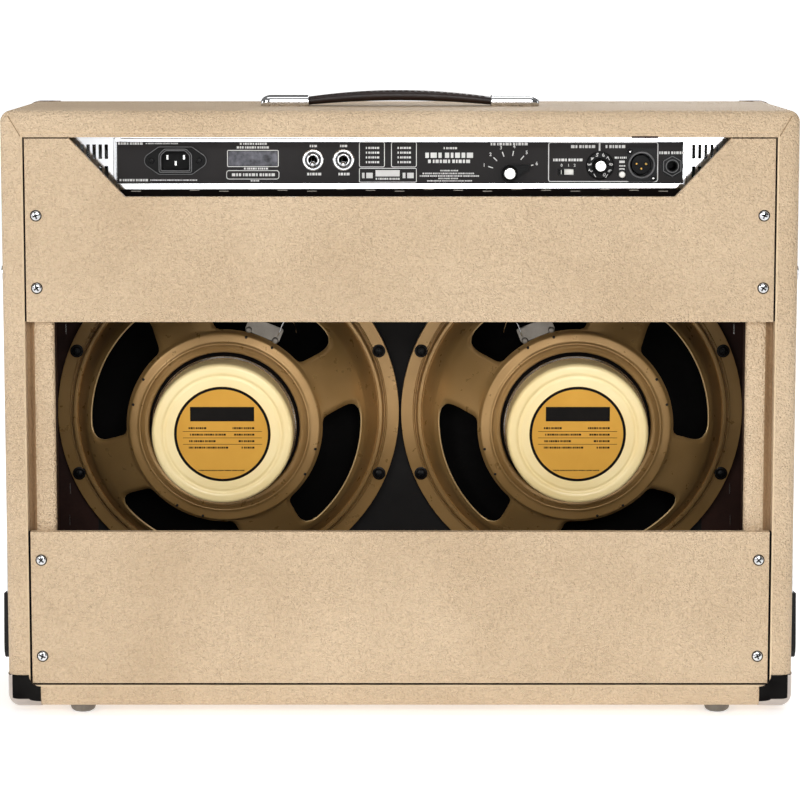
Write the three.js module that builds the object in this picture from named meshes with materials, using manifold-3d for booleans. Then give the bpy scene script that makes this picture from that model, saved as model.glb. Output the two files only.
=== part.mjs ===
// Open-backed guitar combo amplifier with two 12 inch loudspeakers.
// Millimetres, +Z up, front towards -Y, back towards +Y, origin on the floor under the cabinet's centre.
import * as THREE from "three";
import Module from "manifold-3d";
import { mergeVertices } from "three/addons/utils/BufferGeometryUtils.js";
import { RoundedBoxGeometry } from "three/addons/geometries/RoundedBoxGeometry.js";

// ---------------------------------------------------------------- driving dimensions

const FIT_GAP = 0.3; // between fixed neighbours

// Cabinet. Heights in the cabinet are measured from its underside, which stands on the feet.
const FOOT_HEIGHT = 8;
const CABINET_WIDTH = 668;
const CABINET_HEIGHT = 507;
const CABINET_DEPTH = 262;
const FRONT_LEAN = 30; // the front's top edge lies this far behind its bottom edge
const BOARD = 19;
const EDGE_RADIUS = 10;

const HALF_INSIDE = CABINET_WIDTH / 2 - BOARD;
const HALF_DEPTH = CABINET_DEPTH / 2;
const LEAN_ANGLE = Math.atan(FRONT_LEAN / CABINET_HEIGHT);
// The front plane stands furthest forward just above the rounded bottom edge. Drawn on down, it meets the
// level of the cabinet's underside here.
const FRONT_PLANE_FOOT = -HALF_DEPTH - (FRONT_LEAN * EDGE_RADIUS) / CABINET_HEIGHT;

// Battens that the back panels are screwed to, and the blocks that hold the baffle
const BATTEN_WIDTH = 23.5;
const BATTEN_DEPTH = 20;
const BAFFLE_BLOCK = { width: 15, depth: 18, low: [24, 108], high: [318, 420] };

// Back panels
const BACK_PANEL_THICKNESS = 7.7;
const BACK_PANEL_INSET = 2; // behind the back edges of the boards
const UPPER_PANEL = { halfWidth: 313.4, bottom: 330, top: 484.6 };
const PANEL_CUTOUT = { halfTop: 277.3, halfBottom: 230, bottom: 435 };
const LOWER_PANEL = { halfWidth: 313, bottom: 20.7, top: 151.3 };

// Front: distances behind the leaning front plane, heights along it
const GRILLE_CLOTH = { front: 11, back: 12 };
const GRILLE_FRAME = { front: 12.3, back: 25.7, rail: 22, halfWidth: 313.5, bottom: 22, top: 420 };
const BAFFLE = { front: 26, back: 41, halfWidth: 314.5, bottom: 22, top: 436 };

// Loudspeakers
const SPEAKER_SPACING = 311;
const SPEAKER_HEIGHT = 231;
const SPEAKER_RADIUS = 154.5;
const BAFFLE_HOLE_RADIUS = 141.5;
const BASKET_WINDOW = { inner: 86, outer: 121, degrees: 58, first: [67.5, 112.5] };

// Handle
const HANDLE = { depth: 110, halfWidth: 12, halfSpan: 77, capEnd: 120, rise: 3.9 };

// Tilt-back legs
const LEG = { pivotDepth: 90, pivotHeight: 363.5, width: 19, inner: 337.3, outer: 340.3 };
const LEG_END = { depth: 60, height: 31 };
const LEG_TAIL = 53;
const LEG_SWING = THREE.MathUtils.degToRad(50);
const LEG_STOP_RADIUS = 4;

// Chassis and its two panels
const SHEET = 1.5;
const CHASSIS = { halfWidth: 285, bottom: 440.1, top: 483.5, hangTop: 487.7 };
const REAR_PANEL = { recess: 28, thickness: 1, halfWidth: 238.5, bottom: 444.3, top: 479.6 };
const FRONT_PANEL = { recess: 15, thickness: 1.2, halfWidth: 313.5, bottom: 424, top: 486.5 };
const VENT = { first: 247.4, pitch: 5.1, count: 6, width: 2.9, rows: [[448.4, 459.3], [465.3, 477.5]] };

// Controls on the back: x, height above the cabinet's underside
const MAINS_INLET = [189.1, 464];
const POWER_TOGGLE = [73.3, 464.5];
const MUTE_TOGGLE = [47.6, 464.5];
const OUTPUT_KNOB = [-92.3, 453.5];
const SLIDE_SWITCH = [-139.9, 454.4];
const LEVEL_KNOB = [-168.5, 459.8];
const LIFT_BUTTON = [-187.1, 452.3];
const LINE_OUT = [-203.5, 460.3];
const FOOTSWITCH = [-229.2, 459.4];

// Controls on the front: x along one row, in the leaning front's own height
const FRONT_ROW = 455;
const INPUT_JACKS = { normal_one: -268, normal_two: -240, reverb_one: -56, reverb_two: -28 };
const BRIGHT_SWITCHES = { normal: -212, reverb: 0 };
const FRONT_KNOBS = {
  normal_volume: -184,
  normal_treble: -152,
  normal_middle: -120,
  normal_bass: -88,
  reverb_volume: 30,
  reverb_treble: 62,
  reverb_middle: 94,
  reverb_bass: 126,
  reverb_level: 158,
  tremolo_speed: 190,
  tremolo_depth: 222,
};
const PILOT_LAMP = 260;

const TOGGLE_HOLE = 4.5;
const SHAFT_HOLE = 4;
const JACK_HOLE = 5.5;
const BUTTON_HOLE = 3.3;
const SOCKET_HOLE = 12;
const LAMP_HOLE = 7;
const LOOM_HOLE = { x: 12, y: 60, radius: 5 };

// ---------------------------------------------------------------- materials

const paint = (color, roughness, metalness = 0) =>
  new THREE.MeshStandardMaterial({ color, roughness, metalness });

const MATERIAL = {
  vinyl: paint(0xd9c39c, 0.75),
  vinylPanel: paint(0xcfb68c, 0.75),
  plywood: paint(0x1b1a19, 0.85),
  cloth: paint(0x8a6a3c, 0.95),
  chrome: paint(0xd6d8da, 0.15, 1),
  blackMetal: paint(0x2b2a2a, 0.45, 0.5),
  bronze: paint(0x8a6d40, 0.4, 0.6),
  cream: paint(0xf3e0b4, 0.4, 0.1),
  paper: paint(0x141312, 0.95),
  blackPlastic: paint(0x161616, 0.5),
  ivory: paint(0xe9e2cf, 0.5),
  brownStrap: paint(0x2c1712, 0.55),
  rubber: paint(0x1a1a1a, 0.9),
  board: paint(0x1f4a30, 0.6),
  jewel: paint(0xb01818, 0.1),
};

// ---------------------------------------------------------------- solids

const wasm = await Module();
wasm.setup();

// Turns a closed geometry into a solid that can be cut and joined.
function toSolid(geometry) {
  const bare = new THREE.BufferGeometry().setAttribute("position", geometry.getAttribute("position"));
  bare.setIndex(geometry.index);
  const merged = mergeVertices(bare, 1e-4);
  const index = merged.index.array;
  const corners = [];
  for (let i = 0; i < index.length; i += 3) {
    const [a, b, c] = index.subarray(i, i + 3);
    if (a !== b && b !== c && c !== a) corners.push(a, b, c);
  }
  return new wasm.Manifold(
    new wasm.Mesh({
      numProp: 3,
      vertProperties: merged.getAttribute("position").array,
      triVerts: new Uint32Array(corners),
    }),
  );
}

function toGeometry(solid) {
  const { numProp, numVert, vertProperties, triVerts } = solid.getMesh();
  const positions = new Float32Array(numVert * 3);
  for (let i = 0; i < numVert; i++) {
    positions.set(vertProperties.subarray(i * numProp, i * numProp + 3), i * 3);
  }
  const geometry = new THREE.BufferGeometry();
  geometry.setAttribute("position", new THREE.BufferAttribute(positions, 3));
  geometry.setIndex(new THREE.BufferAttribute(triVerts, 1));
  return geometry;
}

const join = (...pieces) => toGeometry(pieces.map(toSolid).reduce((sum, next) => sum.add(next)));

const cut = (body, ...tools) =>
  toGeometry(tools.map(toSolid).reduce((left, tool) => left.subtract(tool), toSolid(body)));

// A box from its lowest to its highest corner.
function block([x0, x1], [y0, y1], [z0, z1]) {
  const box = new THREE.BoxGeometry(x1 - x0, y1 - y0, z1 - z0);
  return box.translate((x0 + x1) / 2, (y0 + y1) / 2, (z0 + z1) / 2);
}

// A body turned round the Y axis. The outline holds [radius, y] points, starts and ends on the axis or closes
// on itself, and may run either way round.
function turned(outline, segments) {
  const points = outline.map(([radius, y]) => new THREE.Vector2(radius, y));
  if (THREE.ShapeUtils.area(points) < 0) points.reverse();
  const onAxis = points[0].x === 0 && points.at(-1).x === 0;
  if (!onAxis) points.push(points[0].clone());
  return new THREE.LatheGeometry(points, segments);
}

// The same body with its axis along Y, turned to face the front (-1) or the back (+1).
const facing = (side, outline) => outline.map(([radius, out]) => [radius, side * out]);

const roundBar = (radius, y0, y1, x, z, segments = 8) =>
  turned([[0, y0], [radius, y0], [radius, y1], [0, y1]], segments).translate(x, 0, z);

// A flat plate: an outline in X and Z, from y0 to y1.
function plate(shape, y0, y1, curveSegments = 6) {
  const geometry = new THREE.ExtrudeGeometry(shape, { depth: y1 - y0, bevelEnabled: false, curveSegments });
  return geometry.rotateX(Math.PI / 2).translate(0, y1, 0);
}

// A flat bar: an outline in Y and Z, from x0 to x1.
function sideProfile(shape, x0, x1, curveSegments = 6) {
  const geometry = new THREE.ExtrudeGeometry(shape, { depth: x1 - x0, bevelEnabled: false, curveSegments });
  const turn = new THREE.Matrix4().set(0, 0, 1, 0, 1, 0, 0, 0, 0, 1, 0, 0, 0, 0, 0, 1);
  return geometry.applyMatrix4(turn).translate(x0, 0, 0);
}

const outlineOf = (points) => new THREE.Shape(points.map(([u, v]) => new THREE.Vector2(u, v)));

// ---------------------------------------------------------------- frames

const amplifier = new THREE.Group();

// Heights in this group count from the cabinet's underside.
const cabinet = new THREE.Group();
cabinet.position.z = FOOT_HEIGHT;
amplifier.add(cabinet);

// The leaning front: Y runs inwards from the front plane, Z runs up along it.
const front = new THREE.Group();
front.position.y = FRONT_PLANE_FOOT;
front.rotation.x = -LEAN_ANGLE;
cabinet.add(front);

// The back control panel: y is 0 on its outer face.
const rear = new THREE.Group();
rear.position.y = HALF_DEPTH - REAR_PANEL.recess;
cabinet.add(rear);

// The front control panel: y is 0 on its outer face, outwards is -Y.
const controls = new THREE.Group();
controls.position.y = FRONT_PANEL.recess;
front.add(controls);

function add(group, name, geometry, material) {
  const mesh = new THREE.Mesh(geometry, material);
  mesh.name = name;
  group.add(mesh);
  return mesh;
}

// Y of a point at a given distance behind the front plane and a given height in the cabinet.
const behindFront = (distance, height) =>
  FRONT_PLANE_FOOT + (distance + height * Math.sin(LEAN_ANGLE)) / Math.cos(LEAN_ANGLE);

// ---------------------------------------------------------------- cabinet

function cabinetShell() {
  const outside = new RoundedBoxGeometry(CABINET_WIDTH, CABINET_DEPTH, CABINET_HEIGHT, 2, EDGE_RADIUS);
  outside.translate(0, 0, CABINET_HEIGHT / 2);
  const position = outside.getAttribute("position");
  for (let i = 0; i < position.count; i++) {
    const towardsFront = 0.5 - position.getY(i) / CABINET_DEPTH;
    const lean = FRONT_LEAN * ((position.getZ(i) - EDGE_RADIUS) / CABINET_HEIGHT) * towardsFront;
    position.setY(i, position.getY(i) + lean);
  }
  const inside = [BOARD, CABINET_HEIGHT - BOARD];
  let shell = cut(outside, block([-HALF_INSIDE, HALF_INSIDE], [-CABINET_DEPTH, CABINET_DEPTH], inside));

  const battenBack = HALF_DEPTH - BACK_PANEL_INSET - BACK_PANEL_THICKNESS - FIT_GAP;
  const blockFront = BAFFLE.back + FIT_GAP;
  for (const side of [-1, 1]) {
    const across = (width) => [side * (HALF_INSIDE - width), side * (HALF_INSIDE + 1)].sort((a, b) => a - b);
    const batten = block(across(BATTEN_WIDTH), [battenBack - BATTEN_DEPTH, battenBack], [BOARD - 1, inside[1] + 1]);
    shell = join(shell, batten);
    for (const heights of [BAFFLE_BLOCK.low, BAFFLE_BLOCK.high]) {
      const held = block(across(BAFFLE_BLOCK.width), [blockFront, blockFront + BAFFLE_BLOCK.depth], heights);
      held.rotateX(-LEAN_ANGLE).translate(0, FRONT_PLANE_FOOT, 0);
      shell = join(shell, held);
    }
  }
  return shell;
}

function foot() {
  const outline = [[0, 0], [7.5, 0], [10.2, 2], [11, 5], [11, FOOT_HEIGHT - 0.05], [0, FOOT_HEIGHT - 0.05]];
  return turned(outline, 10).rotateX(Math.PI / 2);
}

function upperBackPanel() {
  const { halfWidth, bottom, top } = UPPER_PANEL;
  const { halfTop, halfBottom, bottom: sill } = PANEL_CUTOUT;
  return outlineOf([
    [-halfWidth, bottom],
    [halfWidth, bottom],
    [halfWidth, top],
    [halfTop, top],
    [halfBottom, sill],
    [-halfBottom, sill],
    [-halfTop, top],
    [-halfWidth, top],
  ]);
}

const backPanelY = [HALF_DEPTH - BACK_PANEL_INSET - BACK_PANEL_THICKNESS, HALF_DEPTH - BACK_PANEL_INSET];

add(cabinet, "cabinet_shell", cabinetShell(), MATERIAL.vinyl);
add(cabinet, "rear_panel_upper", plate(upperBackPanel(), ...backPanelY), MATERIAL.vinylPanel);
add(
  cabinet,
  "rear_panel_lower",
  block(
    [-LOWER_PANEL.halfWidth, LOWER_PANEL.halfWidth],
    backPanelY,
    [LOWER_PANEL.bottom, LOWER_PANEL.top],
  ),
  MATERIAL.vinylPanel,
);

const FOOT_X = 272.5;
const FOOT_INSET = 25;
for (const [row, y] of [["rear", HALF_DEPTH - FOOT_INSET], ["front", FOOT_INSET - HALF_DEPTH]]) {
  for (const [side, x] of [["left", -FOOT_X], ["right", FOOT_X]]) {
    add(amplifier, `foot_${row}_${side}`, foot(), MATERIAL.chrome).position.set(x, y, 0);
  }
}

// ---------------------------------------------------------------- baffle and grille

const speakerX = [SPEAKER_SPACING / 2, -SPEAKER_SPACING / 2];

function baffleBoard() {
  const { halfWidth, front: y0, back: y1, bottom, top } = BAFFLE;
  const holes = speakerX.map((x) => roundBar(BAFFLE_HOLE_RADIUS, y0 - 5, y1 + 5, x, SPEAKER_HEIGHT, 24));
  return cut(block([-halfWidth, halfWidth], [y0, y1], [bottom, top]), ...holes);
}

function grilleFrame() {
  const { halfWidth, front: y0, back: y1, bottom, top, rail } = GRILLE_FRAME;
  const window = (x0, x1) => block([x0, x1], [y0 - 5, y1 + 5], [bottom + rail, top - rail]);
  return cut(
    block([-halfWidth, halfWidth], [y0, y1], [bottom, top]),
    window(rail - halfWidth, -rail / 2),
    window(rail / 2, halfWidth - rail),
  );
}

add(front, "baffle_board", baffleBoard(), MATERIAL.plywood);
add(front, "grille_frame", grilleFrame(), MATERIAL.plywood);
add(
  front,
  "grille_cloth",
  block(
    [-GRILLE_FRAME.halfWidth, GRILLE_FRAME.halfWidth],
    [GRILLE_CLOTH.front, GRILLE_CLOTH.back],
    [GRILLE_FRAME.bottom, GRILLE_FRAME.top],
  ),
  MATERIAL.cloth,
);

// ---------------------------------------------------------------- loudspeakers

// Outlines hold [radius, distance behind the front plane].
const FLANGE_FRONT = BAFFLE.back + FIT_GAP;
const BASKET_OUTLINE = [
  [SPEAKER_RADIUS, FLANGE_FRONT],
  [SPEAKER_RADIUS, 48.5],
  [141.5, 48.5],
  [139.5, 54.5],
  [134, 56],
  [124, 84],
  [86, 112],
  [84, 118],
  [76, 118.5],
  [73, 115],
  [34, 115],
  [34, 112.5],
  [74, 112.5],
  [77, 115.6],
  [81.7, 115.3],
  [83.6, 110.6],
  [121.6, 82.4],
  [131.6, 53.8],
  [137, 52],
  [138.5, 46],
  [138.5, FLANGE_FRONT],
];
const MAGNET_OUTLINE = [
  [0, 116.5],
  [22.5, 116.5],
  [22.5, 144],
  [57, 144],
  [57, 115.3],
  [60, 115.3],
  [62.2, 118],
  [62.2, 142],
  [59.5, 147.5],
  [52, 149.6],
  [50, 148.4],
  [0, 148.4],
];
const CONE_OUTLINE = [
  [0, 88],
  [20, 90.5],
  [38, 97.5],
  [126, 50.5],
  [134, 46],
  [135.5, 47.5],
  [127, 52.2],
  [40, 99.4],
  [25.8, 107],
  [25.8, 126],
  [24.3, 126],
  [24.3, 97.5],
  [18, 92.3],
  [0, 89.8],
];

// One opening of the basket: an annular sector, cut right through along the axis.
function basketWindow(middleDegrees) {
  const { inner, outer, degrees } = BASKET_WINDOW;
  const from = THREE.MathUtils.degToRad(middleDegrees - degrees / 2);
  const to = THREE.MathUtils.degToRad(middleDegrees + degrees / 2);
  const sector = new THREE.Shape();
  sector.absarc(0, 0, outer, from, to, false);
  sector.absarc(0, 0, inner, to, from, true);
  return plate(sector, 60, 135, 2);
}

speakerX.forEach((x, i) => {
  const side = x < 0 ? "left" : "right";
  // Seen from the back, x runs to the left, so angles are mirrored.
  const windows = [0, 90, 180, 270].map((turn) => basketWindow(180 - BASKET_WINDOW.first[i] - turn));
  const basket = cut(turned(BASKET_OUTLINE, 24), ...windows);
  add(front, `speaker_basket_${side}`, basket, MATERIAL.bronze).position.set(x, 0, SPEAKER_HEIGHT);
  const magnet = turned(MAGNET_OUTLINE, 20);
  add(front, `speaker_magnet_${side}`, magnet, MATERIAL.cream).position.set(x, 0, SPEAKER_HEIGHT);
  const cone = turned(CONE_OUTLINE, 20);
  add(front, `speaker_cone_${side}`, cone, MATERIAL.paper).position.set(x, 0, SPEAKER_HEIGHT);
});

// ---------------------------------------------------------------- handle

const STRAP_TOP = 13.6; // above the cabinet's top, at mid span
const STRAP_GAP = 4.6;
const STRAP_END = { from: 78.3, to: 102, low: 1.2, high: 7.8 };
const CAP = { from: 78.6, low: 0.05, high: 9.2, halfWidth: 14, radius: 5 };

// The strap is a shallow arch whose thinner ends slide in the caps.
function handleStrap() {
  const steps = 6;
  const arch = (middle, drop) =>
    Array.from({ length: 2 * steps + 1 }, (_, i) => {
      const across = i / steps - 1;
      return [across * HANDLE.halfSpan, middle - drop * across * across];
    });
  const over = arch(STRAP_TOP, STRAP_TOP - 8.4).reverse();
  const under = arch(STRAP_GAP, HANDLE.rise);
  const { from, to, low, high } = STRAP_END;
  const tongue = (side) => [[side * from, low], [side * to, low], [side * to, high], [side * from, high]];
  const outline = [...under, ...tongue(1), ...over, ...tongue(-1).reverse()];
  return plate(outlineOf(outline), -HANDLE.halfWidth, HANDLE.halfWidth);
}

// A chromed cap with a rounded outer end and a pocket for the strap.
function handleCap(side) {
  const { from, low, high, halfWidth, radius } = CAP;
  const shape = new THREE.Shape();
  shape.moveTo(from, low);
  shape.lineTo(HANDLE.capEnd, low);
  shape.lineTo(HANDLE.capEnd, high - radius);
  shape.absarc(HANDLE.capEnd - radius, high - radius, radius, 0, Math.PI / 2, false);
  shape.lineTo(from, high);
  const pocket = block(
    [from - 5, STRAP_END.to + 3],
    [-HANDLE.halfWidth - 0.5, HANDLE.halfWidth + 0.5],
    [STRAP_END.low - FIT_GAP, STRAP_END.high + FIT_GAP],
  );
  const cap = cut(plate(shape, -halfWidth, halfWidth, 4), pocket);
  return side > 0 ? cap : cap.rotateZ(Math.PI);
}

const handle = new THREE.Group();
handle.position.set(0, HALF_DEPTH - HANDLE.depth, CABINET_HEIGHT);
cabinet.add(handle);
add(handle, "handle_strap", handleStrap(), MATERIAL.brownStrap);
add(handle, "handle_cap_right", handleCap(1), MATERIAL.chrome);
add(handle, "handle_cap_left", handleCap(-1), MATERIAL.chrome);

// ---------------------------------------------------------------- tilt-back legs

// In the leg's own frame the pivot is at 0 and the foot end points down.
const LEG_REACH = Math.hypot(LEG.pivotDepth - LEG_END.depth, LEG.pivotHeight - LEG_END.height);
const LEG_REST = Math.atan2(LEG.pivotDepth - LEG_END.depth, LEG.pivotHeight - LEG_END.height);
const BOOT = { length: 57, halfWidth: 12.5, inner: 334.8, outer: 342.8 };
const BAR_SHORT = 6; // the bar ends this far above the boot's lowest point
const PIVOT_HOLE_RADIUS = 4.6;

// A range of x on either side of the cabinet, from its value on the +X side.
const toSide = (side, near, far) => (side > 0 ? [near, far] : [-far, -near]);

function legBar(side) {
  const half = LEG.width / 2;
  const shape = new THREE.Shape();
  shape.moveTo(-half, BAR_SHORT - LEG_REACH);
  shape.lineTo(half, BAR_SHORT - LEG_REACH);
  shape.lineTo(half, LEG_TAIL - half);
  shape.absarc(0, LEG_TAIL - half, half, 0, Math.PI, false);
  const hole = new THREE.Path();
  hole.absarc(0, 0, PIVOT_HOLE_RADIUS, 0, 2 * Math.PI, true);
  shape.holes.push(hole);
  return sideProfile(shape, ...toSide(side, LEG.inner, LEG.outer), 4);
}

// A moulded rubber boot, pushed over the end of the bar.
function legBoot(side) {
  const { length, halfWidth, inner, outer } = BOOT;
  const lowest = -LEG_REACH;
  const shape = new THREE.Shape();
  shape.moveTo(-halfWidth, lowest + length);
  shape.lineTo(-halfWidth, lowest + halfWidth);
  shape.absarc(0, lowest + halfWidth, halfWidth, Math.PI, 2 * Math.PI, false);
  shape.lineTo(halfWidth, lowest + length);
  const half = LEG.width / 2 + FIT_GAP;
  const pocket = block(
    toSide(side, LEG.inner - FIT_GAP, LEG.outer + FIT_GAP),
    [-half, half],
    [lowest + BAR_SHORT - FIT_GAP, lowest + length + 5],
  );
  return cut(sideProfile(shape, ...toSide(side, inner, outer), 3), pocket);
}

// Shank, head and spacing washer in one.
const BOLT_SEAT = CABINET_WIDTH / 2 + FIT_GAP;
const PIVOT_BOLT_OUTLINE = [
  [0, BOLT_SEAT],
  [9, BOLT_SEAT],
  [9, 336.7],
  [4, 336.7],
  [4, 340.9],
  [8.5, 340.9],
  [6.5, 344.4],
  [0, 345.6],
];

// The stop bears on the bar's tail when the leg has swung out.
function legStopPlace() {
  const alongTail = LEG_TAIL - 14;
  const clear = LEG.width / 2 + LEG_STOP_RADIUS + 0.7;
  const swung = LEG_REST + LEG_SWING;
  return {
    y: -alongTail * Math.sin(swung) - clear * Math.cos(swung),
    z: alongTail * Math.cos(swung) - clear * Math.sin(swung),
  };
}

for (const [name, side] of [["left", -1], ["right", 1]]) {
  const pivot = new THREE.Group();
  pivot.position.set(0, HALF_DEPTH - LEG.pivotDepth, LEG.pivotHeight);
  cabinet.add(pivot);
  const leg = new THREE.Group();
  leg.rotation.x = LEG_REST;
  pivot.add(leg);
  add(leg, `tilt_leg_${name}`, legBar(side), MATERIAL.chrome);
  add(leg, `leg_boot_${name}`, legBoot(side), MATERIAL.rubber);
  const bolt = turned(facing(side, PIVOT_BOLT_OUTLINE), 10).rotateZ(-Math.PI / 2);
  add(pivot, `leg_pivot_bolt_${name}`, bolt, MATERIAL.chrome);
  const stop = legStopPlace();
  const stud = roundBar(LEG_STOP_RADIUS, ...toSide(side, BOLT_SEAT, 341), 0, 0).rotateZ(-Math.PI / 2);
  add(pivot, `leg_stop_${name}`, stud, MATERIAL.chrome).position.set(0, stop.y, stop.z);
}

// ---------------------------------------------------------------- chassis and panels

// Openings of the back panel, in the back panel's frame. Both the panel and the chassis wall have them.
function rearOpenings(y0, y1) {
  const hole = ([x, z], radius, segments) => roundBar(radius, y0, y1, x, z, segments);
  const slot = ([x, z], halfX, halfZ) => block([x - halfX, x + halfX], [y0, y1], [z - halfZ, z + halfZ]);
  return [
    slot(MAINS_INLET, 14.5, 10.8),
    hole(POWER_TOGGLE, TOGGLE_HOLE),
    hole(MUTE_TOGGLE, TOGGLE_HOLE),
    hole(OUTPUT_KNOB, SHAFT_HOLE),
    slot(SLIDE_SWITCH, 6.9, 2.95),
    hole(LEVEL_KNOB, SHAFT_HOLE),
    hole(LIFT_BUTTON, BUTTON_HOLE),
    hole(LINE_OUT, SOCKET_HOLE, 12),
    hole(FOOTSWITCH, JACK_HOLE),
  ];
}

// Openings of the front panel, in the front panel's frame.
function frontOpenings(y0, y1) {
  const hole = (x, radius) => roundBar(radius, y0, y1, x, FRONT_ROW);
  return [
    ...Object.values(INPUT_JACKS).map((x) => hole(x, JACK_HOLE)),
    ...Object.values(BRIGHT_SWITCHES).map((x) => hole(x, TOGGLE_HOLE)),
    ...Object.values(FRONT_KNOBS).map((x) => hole(x, SHAFT_HOLE)),
    hole(PILOT_LAMP, LAMP_HOLE),
  ];
}

const CHASSIS_BACK = HALF_DEPTH - REAR_PANEL.recess - REAR_PANEL.thickness - FIT_GAP;
const CHASSIS_FRONT = FRONT_PANEL.recess + FRONT_PANEL.thickness + FIT_GAP;

// A sheet steel tray, open at the top, with its front wall parallel to the leaning front.
function chassisTray() {
  const { halfWidth, bottom, top, hangTop } = CHASSIS;
  const section = (inset, lowest, highest) =>
    outlineOf([
      [behindFront(CHASSIS_FRONT + inset, lowest), lowest],
      [CHASSIS_BACK - inset, lowest],
      [CHASSIS_BACK - inset, highest],
      [behindFront(CHASSIS_FRONT + inset, highest), highest],
    ]);
  const outside = sideProfile(section(0, bottom, hangTop), -halfWidth, halfWidth);
  const inside = sideProfile(section(SHEET, bottom + SHEET, hangTop + 20), SHEET - halfWidth, halfWidth - SHEET);
  // Only the two end walls reach up to the cabinet's top board.
  const lowered = block([SHEET - halfWidth, halfWidth - SHEET], [-CABINET_DEPTH, CABINET_DEPTH], [top, hangTop + 20]);

  const vents = VENT.rows.flatMap((row) =>
    Array.from({ length: VENT.count }, (_, i) => VENT.first + i * VENT.pitch).flatMap((x) =>
      [-x, x].map((middle) =>
        block([middle - VENT.width / 2, middle + VENT.width / 2], [CHASSIS_BACK - 6, CHASSIS_BACK + 6], row),
      ),
    ),
  );
  const rearFace = HALF_DEPTH - REAR_PANEL.recess;
  const rearHoles = rearOpenings(-6, 2).map((tool) => tool.translate(0, rearFace, 0));
  const frontHoles = frontOpenings(-2, 6).map((tool) =>
    tool.translate(0, FRONT_PANEL.recess, 0).rotateX(-LEAN_ANGLE).translate(0, FRONT_PLANE_FOOT, 0),
  );
  const loomHoles = [-LOOM_HOLE.x, LOOM_HOLE.x].map((x) =>
    roundBar(LOOM_HOLE.radius, -6, 6, 0, 0)
      .rotateX(Math.PI / 2)
      .translate(x, LOOM_HOLE.y, bottom),
  );
  return cut(outside, inside, lowered, ...vents, ...rearHoles, ...frontHoles, ...loomHoles);
}

function panelPlate({ halfWidth, bottom, top }, y0, y1, openings) {
  return cut(block([-halfWidth, halfWidth], [y0, y1], [bottom, top]), ...openings);
}

add(cabinet, "chassis", chassisTray(), MATERIAL.chrome);
add(
  rear,
  "rear_control_panel",
  panelPlate(REAR_PANEL, -REAR_PANEL.thickness, 0, rearOpenings(-6, 2)),
  MATERIAL.blackMetal,
);
add(
  controls,
  "front_control_panel",
  panelPlate(FRONT_PANEL, 0, FRONT_PANEL.thickness, frontOpenings(-2, 6)),
  MATERIAL.blackMetal,
);

// ---------------------------------------------------------------- sockets

const BEHIND_WALL = 3.2; // a fixing behind the panel and the chassis wall starts this far in

function jackOutline() {
  const bore = 3.55;
  return [
    [bore, -24],
    [8, -24],
    [8, -BEHIND_WALL],
    [4.9, -BEHIND_WALL],
    [4.9, FIT_GAP],
    [7.6, FIT_GAP],
    [7.6, 1.8],
    [5.4, 1.8],
    [5.4, 3.2],
    [bore, 3.2],
  ];
}

// The mains inlet: a lozenge flange outside the panel, a recessed body through it, and three blades.
function mainsInlet() {
  const flange = new THREE.Shape();
  const [endX, endRadius, bodyX, bodyZ] = [20, 6, 14, 11.5];
  flange.moveTo(-bodyX, -bodyZ);
  flange.lineTo(bodyX, -bodyZ);
  flange.absarc(endX, 0, endRadius, -Math.PI / 3, Math.PI / 3, false);
  flange.lineTo(bodyX, bodyZ);
  flange.lineTo(-bodyX, bodyZ);
  flange.absarc(-endX, 0, endRadius, (2 * Math.PI) / 3, (4 * Math.PI) / 3, false);
  const body = join(plate(flange, FIT_GAP, 2.2, 4), block([-14, 14], [-22, 1], [-10.2, 10.2]));
  const recess = block([-12.2, 12.2], [-17, 5], [-8.5, 8.5]);
  const blade = (x, z) => block([x - 1, x + 1], [-18, -3], [z - 2, z + 2]);
  return join(cut(body, recess), blade(-7, 2), blade(7, 2), blade(0, -2.5));
}

// The three-pin line output: a round shell with pins standing in it.
function lineOutSocket() {
  const shell = turned(
    [[0, -20], [11, -20], [11, FIT_GAP], [11.6, FIT_GAP], [11.6, 2.4], [9.8, 2.4], [9.8, -14], [0, -14]],
    12,
  );
  const pin = (degrees) => {
    const angle = THREE.MathUtils.degToRad(degrees);
    return roundBar(1.2, -15, -2, 5 * Math.cos(angle), 5 * Math.sin(angle), 6);
  };
  return join(shell, pin(30), pin(150), pin(270));
}

add(rear, "mains_inlet", mainsInlet(), MATERIAL.blackPlastic).position.set(MAINS_INLET[0], 0, MAINS_INLET[1]);
add(rear, "line_out_socket", lineOutSocket(), MATERIAL.blackMetal).position.set(LINE_OUT[0], 0, LINE_OUT[1]);
add(rear, "footswitch_jack", turned(jackOutline(), 8), MATERIAL.blackPlastic).position.set(
  FOOTSWITCH[0],
  0,
  FOOTSWITCH[1],
);
for (const [name, x] of Object.entries(INPUT_JACKS)) {
  const jack = turned(facing(-1, jackOutline()), 8);
  add(controls, `input_jack_${name}`, jack, MATERIAL.chrome).position.set(x, 0, FRONT_ROW);
}

// ---------------------------------------------------------------- knobs, switches, button and lamp

const KNOB_LIFT = 0.9; // clear of the panel

// A skirted knob on its shaft, with a raised pointer line pointing up.
function skirtedKnob(side, skirt, height) {
  const outline = [
    [0, -14],
    [3, -14],
    [3, KNOB_LIFT],
    [skirt, KNOB_LIFT],
    [skirt, 2.4],
    [0.68 * skirt, 4.6],
    [0.6 * skirt, height],
    [0, height],
  ];
  const pointer = block([-0.8, 0.8], [side * 4, side * (height + 0.6)].sort((a, b) => a - b), [1, 0.66 * skirt]);
  return join(turned(facing(side, outline), 10), pointer);
}

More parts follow.
